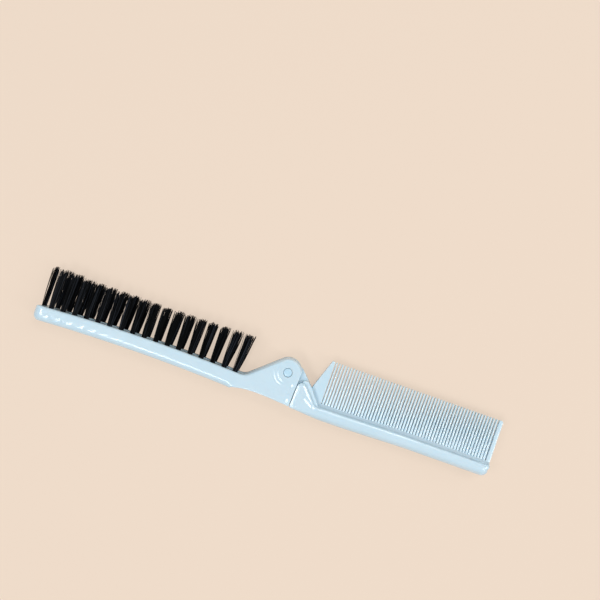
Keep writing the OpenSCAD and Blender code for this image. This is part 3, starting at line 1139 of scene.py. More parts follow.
    def slot_tool(self) -> Piece:
        """Makes the solid that cuts the slot, flared where its edges are rounded.

        Returns:
            The cutting solid.
        """
        lay = self.layout
        half, mid = lay.slot_w / 2, BODY_T / 2
        shell = Shell()
        rings = []
        first, last = lay.slot_end_x, lay.cheek_r + 1
        places = [first + half * (1 - math.cos(math.radians(a))) for a in range(6, 90, 12)]
        places += [p.x for p in run((first + half, 0), (lay.bridge_x, 0), 90)]
        places += [p.x for p in run((lay.bridge_x, 0), (last, 0), 30)] + [last]
        for x in places:
            into = min(1.0, (x - first) / half)
            wide = half * math.sqrt(max(0.0, 1 - (1 - into) ** 2))
            floor = lay.slot_floor if x < lay.bridge_x else lay.bridge_y
            top = self.top_line(x)
            side = [(floor, wide * 0.6), (floor, wide - 0.25 * into), (floor + 0.08, wide - 0.08 * into),
                    (floor + self.slot_fillet, wide)]
            for k in range(6):
                out, down = quarter(self.slot_edge * ease(*self.slot_flare, x), 18 * k)
                side.append((top - down + 0.012, wide + out))
            side.append((top + self.slot_rise, side[-1][1]))
            ring = [(y, mid + z) for y, z in side] + [(y, mid - z) for y, z in reversed(side)]
            rings.append([shell.add(x, y, z) for y, z in ring])
        shell.tube(rings, capped=True)
        return shell.object("slot_tool")

    def hole_tool(self) -> Piece:
        """Makes the solid that cuts the tuft holes, each with a small countersink.

        Returns:
            The cutting solid.
        """
        lay = self.layout
        shell = Shell()
        r, mouth_r = lay.hole_d / 2, lay.hole_d / 2 + self.mouth_w
        steps = [(-lay.hole_depth, r), (-self.mouth_h, r), (0.02, mouth_r), (1.0, mouth_r)]
        spots = [(lay.tuft_x(i), z) for i in range(1, lay.tuft_n + 1) for z in lay.rows.values()]
        for x, z in [*spots, (lay.end_tuft_x, BODY_T / 2)]:
            top = lay.top_at(x)
            rings = [[shell.add(p.x, top + y, p.y) for p in circle(x, z, radius, HOLE_SIDES)]
                     for y, radius in steps]
            shell.tube(rings)
            shell.fan(rings[0], x, top + steps[0][0], z)
            shell.fan(rings[-1], x, top + steps[-1][0], z)
        return shell.object("hole_tool")

    def bore_tool(self) -> Piece:
        """Makes the solid that cuts the pin's bore and the seat of its head.

        Returns:
            The cutting solid.
        """
        r, seat = self.bore_d / 2, self.seat_d / 2
        steps = [(-1.0, r + self.chamfer), (0.0, r + 0.1), (self.chamfer, r), (self.seat_z, r),
                 (self.seat_z, seat), (BODY_T - 0.14, seat), (BODY_T, seat + self.chamfer),
                 (BODY_T + 1, seat + 0.14)]
        return lathe(steps).object("bore_tool")

    def build(self, finish: Finish) -> None:
        """Builds and dresses the brush body.

        Args:
            finish: Its material.
        """
        rings = [arc((0, 0), self.ring_first + self.ring_step * k, *self.ring_arc)
                 for k in range(self.ring_rows)]
        fine = [(p.x, p.y) for ring in rings for p in ring]
        fine += grid(self.fine_corner, self.fine_step, self.fine_n)
        body = Plate(self.stations(), self.relief, steps=8, wall_steps=5, spacing=0.55, extra=tuple(fine))
        piece = body.build().object("brush_moulding")
        for tool in (self.slot_tool(), self.hole_tool(), self.bore_tool()):
            combine(piece, tool, Cut.TAKE_AWAY)
        smooth(piece)
        place(piece, finish, Body.BRUSH, Slot.PLASTIC, "brush_body")


def lathe(steps: Sequence[tuple[float, float]]) -> Shell:
    """Turns a profile about the hinge axis.

    Args:
        steps: Height and radius of each ring.

    Returns:
        The closed skin.
    """
    shell = Shell()
    rings = [[shell.add(p.x, p.y, z) for p in circle(0, 0, r, LATHE_SIDES)] for z, r in steps]
    shell.tube(rings)
    shell.fan(rings[0], 0, 0, steps[0][0])
    shell.fan(rings[-1], 0, 0, steps[-1][0])
    return shell


@dataclass
class CombBody:
    """The moulded comb half: spine, root block, tongue, web, guards and teeth."""

    layout: Layout = LAYOUT
    spine_inset: float = 0.5
    panel_depth: float = 0.16
    wave_depth: float = 0.012
    back_edge: Edge = Edge(2.9, 3.6)
    root_edge: Edge = Edge(0.5, 0.5)
    ledge_edge: Edge = Edge(1.1, 0.45, 0.75)
    far_edge: Edge = Edge(3.0, 3.0)
    block_edge: Edge = Edge(0.5, 0.7, 0.4)
    end_back_r: float = 2.5
    inner_r: float = 0.15
    end_reach: float = 8.0
    root_reach: float = 4.0
    ledge_reach: float = 5.0
    back_n: int = 110
    ledge_n: int = 100
    slope_n: int = 24
    root_back: float = -12.3
    belly_h: float = 1.5
    belly_span: Span = (1.0, 20.0)
    rise_h: float = 0.75
    rise_span: Span = (22.0, 56.0)
    edge_span: Span = (4.0, 21.0)
    edge_power: float = 0.8
    ledge_low: float = -8.8
    ledge_rise: float = 0.6
    ledge_span: Span = (16.0, 54.0)
    web_h: float = 0.3
    gap_end_h: float = 1.25
    plate_t: float = 2.6
    web_t: float = 4.0
    web_root: float = 0.8
    plate_tip_t: float = 1.8
    notch: tuple[float, float] = (10.9, -2.7)
    shoulder: tuple[float, float] = (5.6, 2.6)
    shoulder_t: float = 7.7
    guard_tip: tuple[float, float] = (15.2, 16.3)
    end_guard_w: float = 1.6
    tooth_n: int = 56
    pitch: float = 1.2079
    tooth_w: float = 0.94
    tooth_tip_w: float = 0.48
    tooth_foot_h: float = 0.35
    tooth_end_h: float = 0.32
    tooth_thin: float = 0.45
    tooth_round: float = 0.55
    tooth_section: tuple[tuple[float, float], ...] = ((1.0, 1.0), (0.94, 0.64), (0.74, 0.34), (0.2, 0.0))
    bore_d: float = 2.72
    block_top: tuple[float, float] = (7.9, -2.0)
    block_foot: tuple[float, float] = (14.6, -9.4)
    left_foot: Span = (-12.6, -11.8)
    left_low: Span = (-9.5, -11.5)
    left_outer: Span = (1.8, 2.6)
    left_inner: Span = (1.2, 1.9)
    rim_w: Span = (1.2, 0.3)
    rim_end: Span = (1.08, 0.97)
    rim_low: Span = (-11.6, -10.2)
    panel_span: Span = (15.0, 21.0)
    fine_corner: Span = (4.9, -12.4)
    fine_step: Span = (0.21, 0.21)
    fine_n: tuple[int, int] = (44, 50)
    crown_y: Span = (-3.1, -2.5)
    crown_x: Span = (10.0, 8.0)
    hook: tuple[float, float] = (9.2, -7.7)
    hook_dir: tuple[float, float] = (0.458, 0.889)
    hook_h: float = 0.85
    hook_side: Span = (-0.45, 0.45)
    hook_back: Span = (1.6, 0.5)
    hook_start: Span = (8.7, 9.7)
    hook_end: Span = (13.6, 12.8)
    fold_gap: float = 0.3
    left_bevel: float = 1.1
    stop_drop: float = 0.31

    @cached_property
    def block_l(self) -> float:
        """Length of the root block's slope."""
        return (Vector(self.block_foot) - Vector(self.block_top)).length

    @cached_property
    def block_along(self) -> Vector:
        """Direction of the root block's slope, from its top to its foot."""
        return (Vector(self.block_foot) - Vector(self.block_top)).normalized()

    @cached_property
    def block_out(self) -> Vector:
        """Direction square to the root block's slope, away from the block."""
        return Vector((-self.block_along.y, self.block_along.x))

    @property
    def flat_x(self) -> float:
        """Place where the far end's turn reaches the side face."""
        return self.layout.comb_l - self.far_edge.inset

    @property
    def low_x(self) -> float:
        """Place where the back meets the far end's round."""
        return self.layout.comb_l - self.end_back_r

    def back_line(self, x: float) -> float:
        """Returns the height of the spine's back at x."""
        belly = self.belly_h * ease(*self.belly_span, x)
        return self.root_back - belly + self.rise_h * ease(*self.rise_span, x)

    def ledge_line(self, x: float) -> float:
        """Returns the height of the ledge between spine and web at x."""
        return self.ledge_low + self.ledge_rise * ease(*self.ledge_span, x)

    def gap_end(self, x: float) -> float:
        """Returns the height at which the gaps between the teeth end at x."""
        return self.ledge_line(x) + self.gap_end_h

    def face(self, x: float, y: float) -> float:
        """Gives the side face of the spine and of the root block, with its rims and hollow.

        Args:
            x: Place along the comb.
            y: Height from the hinge axis.

        Returns:
            Height of the low side face above z = 0.
        """
        here = Vector((x, y)) - Vector(self.block_top)
        run_on = here.dot(self.block_along) / self.block_l
        rim = ramp(*self.rim_w, -here.dot(self.block_out)) * ease(*self.rim_end, run_on)
        rim *= ease(*self.rim_low, y)
        left = x - self.layout.root_x(y)
        low = ease(*self.left_low, y)
        edge = ramp(mix(*self.left_outer, low), mix(*self.left_inner, low), left)
        edge *= ease(*self.left_foot, y)
        crown = ramp(*self.crown_y, y) * ease(*self.crown_x, x)
        turn = (x - self.hook[0]) * self.hook_dir[0] + (y - self.hook[1]) * self.hook_dir[1]
        turn -= 0.2 * bell(x - 10.6, 1.0)
        hook = self.hook_h * ramp(*self.hook_side, turn) * ease(*self.hook_back, turn)
        hook *= ease(*self.hook_start, x) * ease(*self.hook_end, x)
        raised = max(rim, edge, crown, hook)
        floor = mix(self.panel_depth, self.spine_inset, ease(*self.panel_span, x))
        wave = self.wave_depth * noise.noise(Vector((x * 0.2, y * 0.5, 9.1)))
        return floor * (1 - raised) + wave

    def lay_back(self, line: Outline) -> None:
        """Lays the back of the root block and of the spine.

        Args:
            line: The outline.
        """
        start_x, low_x = self.layout.root_x(self.layout.back_y), self.low_x
        for p in run((start_x, 0), (low_x, 0), self.back_n):
            y = self.back_line(p.x)
            edge = blend_edges(self.root_edge, self.back_edge, ease(*self.edge_span, p.x) ** self.edge_power)
            pull = (low_x - self.flat_x + self.inner_r) * fade(low_x - p.x, self.end_reach)
            push = self.left_bevel * fade(p.x - start_x, self.root_reach)
            line.put(Vector((p.x, y)), Vector((p.x - pull + push, y + edge.inset)), edge)

    def lay_end(self, line: Outline) -> None:
        """Lays the far end, up to the ledge.

        Args:
            line: The outline.
        """
        end_x, flat_x, r = self.layout.comb_l, self.flat_x, self.end_back_r
        low, high = self.back_line(self.low_x), self.ledge_line(end_x)
        inner_low = low + self.back_edge.inset + self.inner_r
        line.follow(arc((self.low_x, low + r), r, -90, 0, 12),
                    arc((flat_x - self.inner_r, inner_low), self.inner_r, -90, 0, 12),
                    self.back_edge, self.far_edge)
        line.follow(run((end_x, low + r), (end_x, high), 3),
                    run((flat_x, inner_low), (flat_x, high - self.ledge_edge.inset), 3),
                    self.far_edge, self.far_edge)

    def inner_corner(self, corner: Vector, y: float) -> Vector:
        """Moves a corner of the root block's slope into the side face.

        Args:
            corner: The corner on the wall.
            y: Height of the moved corner.

        Returns:
            The corner in the side face.
        """
        inner = corner - self.block_out * self.block_edge.inset
        inner.x -= (y - inner.y) * self.block_along.x / -self.block_along.y
        inner.y = y
        return inner

    def lay_ledge(self, line: Outline, foot: Vector, inner_foot: Vector) -> None:
        """Lays the ledge, from the far end back to the foot of the root block's slope.

        Args:
            line: The outline.
            foot: The foot of the slope, on the wall.
            inner_foot: The same in the side face.
        """
        end_x = self.layout.comb_l
        for t in shares(self.ledge_n):
            x = mix(end_x, foot.x, t)
            rim = Vector((x, self.ledge_line(x)))
            pull = self.far_edge.inset * fade(end_x - rim.x, self.end_reach)
            crease = Vector((rim.x - pull, rim.y - self.ledge_edge.inset))
            crease.x += (inner_foot.x - foot.x) * fade(rim.x - foot.x, self.ledge_reach)
            edge = blend_edges(self.far_edge, self.ledge_edge, ease(0, self.ledge_reach, end_x - rim.x))
            line.put(rim, crease, edge)

    def lay_block(self, line: Outline, top: Vector, inner_top: Vector) -> None:
        """Lays the root block's top, its cut corner and its end face.

        Args:
            line: The outline.
            top: The top of the block's slope, on the wall.
            inner_top: The same in the side face.
        """
        lay = self.layout
        cut = lay.cheek_r + self.fold_gap
        cut_x = (-cut - lay.slope_dir.y * top.y) / lay.slope_dir.x
        cut_y = (-cut - lay.slope_dir.x * lay.root_x(self.notch[1])) / lay.slope_dir.y
        left, low, bevel = lay.root_x(cut_y), lay.root_x(lay.back_y), self.left_bevel
        chain = [(top.x, top.y), (cut_x, top.y), (left, cut_y), (low, lay.back_y)]
        inner = [(inner_top.x, inner_top.y), (cut_x + 0.2, inner_top.y), (left + bevel, cut_y - 0.15),
                 (low + bevel, lay.back_y + self.root_edge.inset)]
        stop_edge = Edge(bevel, self.stop_drop, 0.1)
        for j, (count, edge) in enumerate(((6, self.block_edge), (5, stop_edge), (22, stop_edge))):
            line.follow(run(chain[j], chain[j + 1], count), run(inner[j], inner[j + 1], count), edge, edge)

    def spine_stations(self) -> list[Station]:
        """Goes once round the spine and the root block, from the root's lower corner.

        Returns:
            The stations in order.
        """
        foot, top = Vector(self.block_foot), Vector(self.block_top)
        inner_foot = self.inner_corner(foot, self.ledge_line(foot.x) - self.ledge_edge.inset)
        inner_top = self.inner_corner(top, top.y - self.block_edge.inset)
        line = Outline()
        self.lay_back(line)
        self.lay_end(line)
        self.lay_ledge(line, foot, inner_foot)
        corner = len(line.found)
        for t in shares(self.slope_n):
            edge = blend_edges(self.ledge_edge, self.block_edge, ease(0.0, 0.12, t))
            line.put(foot.lerp(top, t), inner_foot.lerp(inner_top, t), edge)
        peak = len(line.found)
        self.lay_block(line, top, inner_top)
        return line.softened(((corner, 4), (peak, 2), (peak + 6, 2), (peak + 11, 2)))

    def ring(self, corners: Sequence[tuple[float, float, float]], edge: Edge, step: float) -> list[Station]:
        """Makes the stations of a simple outline with rounded corners.

        Args:
            corners: X, Y and radius of each corner, counter-clockwise.
            edge: The turn all round.
            step: Distance between two stations.

        Returns:
            The stations in order.
        """
        outer = rounded(corners, step)
        found = []
        for i, p in enumerate(outer):
            along = (outer[(i + 1) % len(outer)] - outer[i - 1]).normalized()
            found.append(Station(p, p + Vector((-along.y, along.x)) * edge.inset, edge))
        return found

    def plate_face(self, x: float, y: float) -> float:
        """Gives the side face of the tooth plate, its ledge and its foot in the spine.

        Args:
            x: Place along the comb.
            y: Height from the hinge axis.

        Returns:
            Height of the low side face above z = 0.
        """
        ledge = self.ledge_line(x)
        web, end = ledge + self.web_h, self.gap_end(x)
        if y < web:
            foot = self.spine_inset + self.ledge_edge.depth
            return mix(foot, (BODY_T - self.web_t) / 2, ramp(ledge, web, y))
        if y < end:
            return (BODY_T - mix(self.web_t, self.plate_t, ease(web, end, y))) / 2
        share = (y - end) / (self.layout.tip_y - end)
        return (BODY_T - mix(self.plate_t, self.plate_tip_t, share)) / 2

    def plate(self) -> Piece:
        """Makes the web with its ledge and the two guards.

        Returns:
            The solid.
        """
        end, tip = self.layout.comb_l, self.layout.tip_y
        teeth_end = end - self.end_guard_w
        low = self.ledge_low - self.web_root
        guard, teeth_start = self.guard_tip
        starts = [mix(teeth_end, teeth_start, k / 12) for k in range(13)]
        corners = [
            (9.0, low, 0.5), (end - 0.6, low, 0.5), (end, self.gap_end(end), 0.5), (end, tip, 1.1),
            (teeth_end + 0.1, tip, 0.45), *((x, self.gap_end(x), 0.0) for x in starts),
            (teeth_start, tip, 0.36), (guard, tip, 0.36), (*self.notch, 0.25), (9.0, -4.0, 0.5)]
        stations = self.ring(corners, Edge(0.15, 0.15), 0.6)
        levels = (-0.12, 0.0, self.web_h - 0.02, self.web_h + 0.02, 0.75, 1.0)
        rows = tuple((x / 2, self.ledge_line(x / 2) + y) for x in range(19, 171) for y in levels)
        web = Plate(stations, self.plate_face, steps=4, spacing=0.7, extra=rows)
        return web.build().object("web_and_guards")

    def tongue(self) -> Piece:
        """Makes the tongue, which turns on the pin between the cheeks.

        Returns:
            The solid.
        """
        lay = self.layout
        corners = [(p.x, p.y, 0.0) for p in arc((0, 0), lay.cheek_r - 0.1, 66, 300, 60)]
        corners += [(4.2, -4.6, 0.5), (6.2, -9.9, 0.8), (16.6, -9.9, 0.8),
                    (self.notch[0] - 0.1, self.notch[1], 0.5), (*self.shoulder, 0.9)]
        side = (BODY_T - lay.tongue_t) / 2
        stations = self.ring(corners, Edge(0.25, 0.25), 0.5)
        return Plate(stations, lambda x, y: side, steps=4, spacing=0.8).build().object("tongue")

    def wing(self) -> Piece:
        """Makes the thick wing between the root block and the web.

        Returns:
            The solid.
        """
        corners = [
            (6.8, -3.0, 0.8), (12.6, -10.6, 0.8), (17.0, -10.6, 0.8), (17.0, -9.5, 0.6), (15.2, -8.35, 1.0),
            (self.notch[0] - 0.15, self.notch[1] - 0.05, 0.9), (8.9, -0.85, 0.9), (6.9, -0.9, 0.8)]
        side = (BODY_T - self.shoulder_t) / 2
        stations = self.ring(corners, Edge(0.22, 0.22), 0.4)
        wing = Plate(stations, lambda x, y: side, steps=4, wall_steps=3, spacing=0.8)
        return wing.build().object("wing")

    def tooth(self) -> Shell:
        """Makes one tooth, tapered and rounded, with a flared foot.

        Returns:
            The closed skin of the tooth, with its tip at the origin.
        """
        tip, root = self.layout.tip_y, self.gap_end(0.0)
        flare, foot_h = self.pitch - 0.02, self.tooth_foot_h
        rows = [(root - foot_h, flare), (root - 0.02, flare), (root + 0.05, mix(flare, self.tooth_w, 0.55)),
                (root + 0.16, mix(flare, self.tooth_w, 0.85)), (root + foot_h, self.tooth_w)]
        for k in range(1, 7):
            y = mix(root + foot_h, tip - self.tooth_end_h, k / 6)
            rows.append((y, mix(self.tooth_w, self.tooth_tip_w, (y - root) / (tip - root))))
        rows += [(tip - 0.16, 0.5), (tip - 0.05, 0.34), (tip, 0.12)]
        shell = Shell()
        rings = []
        for y, width in rows:
            thick = (BODY_T / 2 - self.plate_face(0, max(y, root))) * 2
            thick *= mix(1.0, self.tooth_thin, ease(tip - 0.5, tip, y) ** 2)
            a, b = width / 2, thick / 2
            c = min(a, b) * self.tooth_round
            corner = [(a * along, b - c * drop) for along, drop in self.tooth_section]
            half = corner + [(-x, z) for x, z in reversed(corner)]
            loop = half + [(-x, -z) for x, z in half]
            rings.append([shell.add(x, y - tip, z) for x, z in loop])
        shell.tube(rings, capped=True)
        return shell

    def tooth_tree(self) -> bpy.types.NodeTree:
        """Builds the tree that repeats one tooth along the web.

        Returns:
            The tree.
        """
        tree = Tree(bpy.data.node_groups.new("tooth_row", "GeometryNodeTree"))
        given = tree.sockets({
            "Tooth": "Geometry", "Number of teeth": "Int", "First tip": "Vector", "Tooth pitch": "Float",
            "Rise start": "Float", "Rise end": "Float", "Shortest tooth": "Float",
            "Finish": "Material"}, "Row")
        line = tree.node("GeometryNodeMeshLine", {
            "Count": given["Number of teeth"], "Start Location": given["First tip"],
            "Offset": tree.xyz(X=given["Tooth pitch"])}).outputs[0]
        share = tree.node("ShaderNodeMapRange", {
            "Value": tree.position("X"), "From Min": given["Rise start"], "From Max": given["Rise end"],
            "To Min": 1.0, "To Max": given["Shortest tooth"]}, interpolation_type="SMOOTHSTEP").outputs[0]
        row = tree.node("GeometryNodeInstanceOnPoints", {
            "Points": line, "Instance": given["Tooth"], "Scale": tree.xyz(X=1.0, Y=share, Z=1.0)}).outputs[0]
        real = tree.node("GeometryNodeRealizeInstances", {"Geometry": row}).outputs[0]
        tree.dress(real, given["Finish"], "Row")
        return tree.group

    def teeth(self, finish: Finish) -> Piece:
        """Makes the row of teeth.

        Args:
            finish: The comb's material.

        Returns:
            The row, as one plain mesh.
        """
        row = link("tooth_row", self.tooth().mesh("tooth_row", Vector()))
        first = self.guard_tip[1] + self.pitch - self.tooth_w / 2
        tip = self.layout.tip_y
        fill(row, self.tooth_tree(), {
            "Number of teeth": self.tooth_n, "First tip": Vector((first, tip, BODY_T / 2)) * MM + HINGE,
            "Tooth pitch": self.pitch * MM, "Rise start": self.ledge_span[0] * MM + HINGE.x,
            "Rise end": self.ledge_span[1] * MM + HINGE.x,
            "Shortest tooth": 1 - self.ledge_rise / (tip - self.gap_end(0)), "Finish": finish})
        settle(row)
        return row

    def build(self, finish: Finish) -> None:
        """Builds and dresses the comb body.

        Args:
            finish: Its material.
        """
        fine = tuple(grid(self.fine_corner, self.fine_step, self.fine_n))
        body = Plate(self.spine_stations(), self.face, steps=8, wall_steps=6, spacing=0.45, extra=fine)
        piece = body.build().object("comb_moulding")
        for part in (self.plate(), self.tongue(), self.wing(), self.teeth(finish)):
            combine(piece, part, Cut.ADD)
        r = self.bore_d / 2
        combine(piece, lathe([(-1, r), (BODY_T + 1, r)]).object("bore"), Cut.TAKE_AWAY)
        smooth(piece)
        place(piece, finish, Body.COMB, Slot.PLASTIC, "comb_body")


def rounded(corners: Sequence[tuple[float, float, float]], step: float) -> list[Vector]:
    """Draws a closed outline whose corners are rounded.

    Args:
        corners: X, Y and radius of each corner.
        step: Distance between two points on its straight parts.

    Returns:
        The points in order.
    """
    points: list[Vector] = []
    for i, (x, y, r) in enumerate(corners):
        here = Vector((x, y))
        before = Vector(corners[i - 1][:2]) - here
        after = Vector(corners[(i + 1) % len(corners)][:2]) - here
        a, b = before.normalized(), after.normalized()
        if r > 0:
            spread = a.angle(b)
            reach = min(r / math.tan(spread / 2), before.length / 2, after.length / 2)
            count = max(2, round((math.pi - spread) / CORNER_STEP))
            points += [bow(here + a * reach, here, here + b * reach, k / count) for k in range(count + 1)]
        else:
            points.append(here)
    filled: list[Vector] = []
    for i, p in enumerate(points):
        q = points[(i + 1) % len(points)]
        if (q - p).length > SHORTEST_SIDE:
            filled += run(p, q, max(1, round((q - p).length / step)))
    return filled


def fill(piece: Piece, group: bpy.types.NodeTree, values: dict[str, object]) -> None:
    """Puts a node tree on a piece and sets the tree's inputs.

    Args:
        piece: The piece.
        group: The tree.
        values: Values for its inputs, by name.
    """
    step = piece.modifiers.new("tree", "NODES")
    step.node_group = group
    for item in group.interface.items_tree:
        if item.in_out == "INPUT" and item.name in values:
            step[item.identifier] = values[item.name]


@dataclass
class HingePin:
    """The pin that both halves turn on, with its softly rounded head."""

    shank_d: float = 2.6
    head_d: float = 3.28
    head_h: float = 0.9
    sink: float = 0.12
    rim: float = 0.25
    crown_h: float = 0.06
    rim_angles: tuple[int, ...] = (22, 45, 68, 90)

    def build(self, finish: Finish) -> None:
        """Builds and dresses the pin.

        Args:
            finish: Its material.
        """
        top, r, head = BODY_T - self.sink, self.shank_d / 2, self.head_d / 2
        seat = top - self.head_h
        steps = [(self.sink, r - self.rim)]
        for a in self.rim_angles:
            up, into = quarter(self.rim, a)
            steps.append((self.sink + up, r - into))
        steps += [(seat, r), (seat, head - 0.05), (seat + 0.05, head)]
        for a in (*reversed(self.rim_angles), 0):
            down, into = quarter(self.rim, a)
            steps.append((top - down - self.crown_h, head - into))
        steps += [(top - self.crown_h / 3, head * 0.62), (top, head * 0.3)]
        piece = lathe(steps).object("hinge_pin_turned")
        smooth(piece)
        place(piece, finish, Body.BRUSH, Slot.PIN, "hinge_pin")


@dataclass
class Tufts:
    """The bristle tufts, one piece for each, with their folded roots in the holes."""

    layout: Layout = LAYOUT
    strand_n: int = 66
    strand_d: float = 0.2
    strand_shape: tuple[float, ...] = (0.5, 0.5, 0.5, 0.48, 0.44, 0.34)
    root_r: float = 0.9
    root_play: float = 0.02
    root_sink: float = 0.12
    root_lap: float = 0.05
    sink: float = 0.35
    anchor_low: float = 0.5
    anchor_high: float = 2.0
    anchor_t: float = 0.32
    fan_x: float = 2.95
    wide_fan_x: float = 3.85
    wide_from_x: float = -30.0
    end_fan_x: float = 1.9
    fan_z: float = 2.1
    uneven: float = 0.4
    ragged: float = 1.6
    lean_spread: float = 1.2
    bow: float = 0.28
    belly: float = 0.22
    stray: float = 1.5
    stray_power: float = 9.0
    stray_across: float = 0.15
    jitter: float = 0.12
    turn_play: float = 0.25
    free_y: float = 8.75
    clearance: float = 0.2
    end_seed: int = 90

    def strand(self) -> Shell:
        """Makes one strand of length 1 along Y, with four sides.

        Returns:
            The closed skin of the strand.
        """
        shell = Shell()
        last = len(self.strand_shape) - 1
        shell.tube([[shell.add(p.x, k / last, p.y) for p in circle(0, 0, r, 4)]
                    for k, r in enumerate(self.strand_shape)], capped=True)
        return shell

    def root(self, x: float, z: float) -> Piece:
        """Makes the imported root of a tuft, which fills its hole round the anchor.

        Args:
            x: Place of the tuft along the brush.
            z: Its place along the pin.

        Returns:
            The root.
        """
        lay = self.layout
        top, r = lay.top_at(x), lay.hole_d / 2 - self.root_play
        floor = top - lay.hole_depth
        low, high = floor + self.anchor_low, floor + self.anchor_high
        full = circle(0, 0, r, 24)
        limit = math.acos(self.anchor_t / 2 / r)
        turn = [mix(-limit, limit, k / 12) for k in range(13)]
        moon = [Vector((r * math.cos(a), r * math.sin(a))) for a in turn]
        shell = Shell()
        parts = [(floor + self.root_play, low + self.root_play, full, 1),
                 (high - self.root_play, top - self.root_sink, full, 1),
                 (low - self.root_lap, high + self.root_lap, moon, 1),
                 (low - self.root_lap, high + self.root_lap, moon, -1)]
        for foot, head, loop, side in parts:
            rings = [[shell.add(x + side * p.x, y, z + p.y) for p in loop] for y in (foot, head)]
            shell.tube(rings, capped=True)
        return shell.object("root")

    def tree(self) -> bpy.types.NodeTree:
        """Builds the tree that plants and fans the strands of one tuft.

        Returns:
            The tree.
        """
        tree = Tree(bpy.data.node_groups.new("tuft", "GeometryNodeTree"))
        given = tree.sockets({
            "Strand": "Geometry", "Place": "Vector", "Number of strands": "Int", "Strand width": "Float",
            "Root radius": "Float", "Length": "Float", "Ragged ends": "Float", "Fan along": "Float",
            "Fan across": "Float", "Lean": "Float", "Bow": "Float", "Belly": "Float", "Stray": "Float",
            "Seed": "Int", "Finish": "Material"}, "Tuft")
        index = tree.node("GeometryNodeInputIndex").outputs[0]
        times, plus, minus, over = (
            partial(tree.math, word) for word in ("MULTIPLY", "ADD", "SUBTRACT", "DIVIDE"))

        def chance(low: float, high: float, salt: int) -> Socket:
            """Draws a number for each strand.

            Args:
                low: The least.
                high: The most.
                salt: Keeps this draw apart from the others.

            Returns:
                The drawn number.
            """
            made = tree.node("FunctionNodeRandomValue", data_type="FLOAT")
            by_id = {s.identifier: s for s in made.inputs}
            by_id["Min_001"].default_value = low
            by_id["Max_001"].default_value = high
            tree.group.links.new(index, by_id["ID"])
            tree.group.links.new(plus(times(given["Seed"], 17.0), float(salt)), by_id["Seed"])
            return {s.identifier: s for s in made.outputs}["Value_001"]

        radius = tree.math("SQRT", over(plus(index, 0.5), given["Number of strands"]))
        turn = plus(times(index, GOLDEN_ANGLE), times(given["Seed"], 1.7))
        turn = plus(turn, chance(-self.turn_play, self.turn_play, 1))
        side_x, side_z = (times(radius, tree.math(word, turn)) for word in ("COSINE", "SINE"))
        root = tree.xyz(X=times(side_x, given["Root radius"]), Z=times(side_z, given["Root radius"]))
        points = tree.node("GeometryNodePoints", {
            "Count": given["Number of strands"],
            "Position": tree.vector("ADD", root, given["Place"])}).outputs[0]
        wild = tree.math("POWER", chance(0.0, 1.0, 2), self.stray_power)
        off_x = times(times(wild, chance(-1.0, 1.0, 3)), given["Stray"])
        off_z = times(times(wild, chance(-self.stray_across, self.stray_across, 4)), given["Stray"])
        jitter = times(chance(-self.jitter, self.jitter, 5), given["Fan along"])
        spread_x = minus(over(given["Fan along"], 2.0), given["Root radius"])
        spread_z = minus(over(given["Fan across"], 2.0), given["Root radius"])
        go_x = plus(plus(times(side_x, spread_x), plus(off_x, jitter)), given["Lean"])
        go_z = plus(times(side_z, spread_z), off_z)
        tall = plus(given["Length"], times(given["Ragged ends"], chance(-1.0, 0.0, 6)))
        aim = tree.xyz(X=go_x, Y=tall, Z=go_z)
        facing = tree.node("FunctionNodeAlignRotationToVector", {"Vector": aim}, axis="Y").outputs[0]
        reach = tree.node("ShaderNodeVectorMath", {0: aim}, operation="LENGTH").outputs["Value"]
        size = tree.xyz(X=given["Strand width"], Y=reach, Z=given["Strand width"])
        marked = tree.store(given["Strand"], "along", tree.position("Y"), "POINT")
        shape = tree.node("GeometryNodeInstanceOnPoints", {
            "Points": points, "Instance": marked, "Rotation": facing, "Scale": size}).outputs[0]
        # strand_draw is one random number per strand; the nylon uses it for gloss and to pick the strands
        # with a painted highlight.
        kept = {"bend_x": chance(-1.0, 1.0, 7), "bend_z": chance(-1.0, 1.0, 8), "full_x": side_x,
                "full_z": side_z, "strand_draw": chance(0.0, 1.0, 9)}
        for name, value in kept.items():
            shape = tree.store(shape, name, value, "INSTANCE")
        real = tree.node("GeometryNodeRealizeInstances", {"Geometry": shape}).outputs[0]
        along = tree.named("along")
        arch = tree.math("SINE", times(along, math.pi))
        curve = times(times(arch, along), given["Bow"])
        belly = times(times(arch, minus(1.0, along)), given["Belly"])
        shift = {axis: plus(times(curve, tree.named("bend_" + axis.lower())),
                            times(belly, tree.named("full_" + axis.lower()))) for axis in "XZ"}
        offset = tree.xyz(**shift)
        bent = tree.node("GeometryNodeSetPosition", {"Geometry": real, "Offset": offset}).outputs[0]
        tree.dress(bent, given["Finish"], "Tuft")
        return tree.group

    def reach(self, x: float) -> float:
        """Gives the height of a tuft's longest tips, which just clear the folded comb.

        Args:
            x: Place along the brush.

        Returns:
            The height there.
        """
        comb = CombBody()
        if -x > comb.layout.comb_l + 1.0:
            return self.free_y
        return -comb.ledge_line(-x) - self.clearance

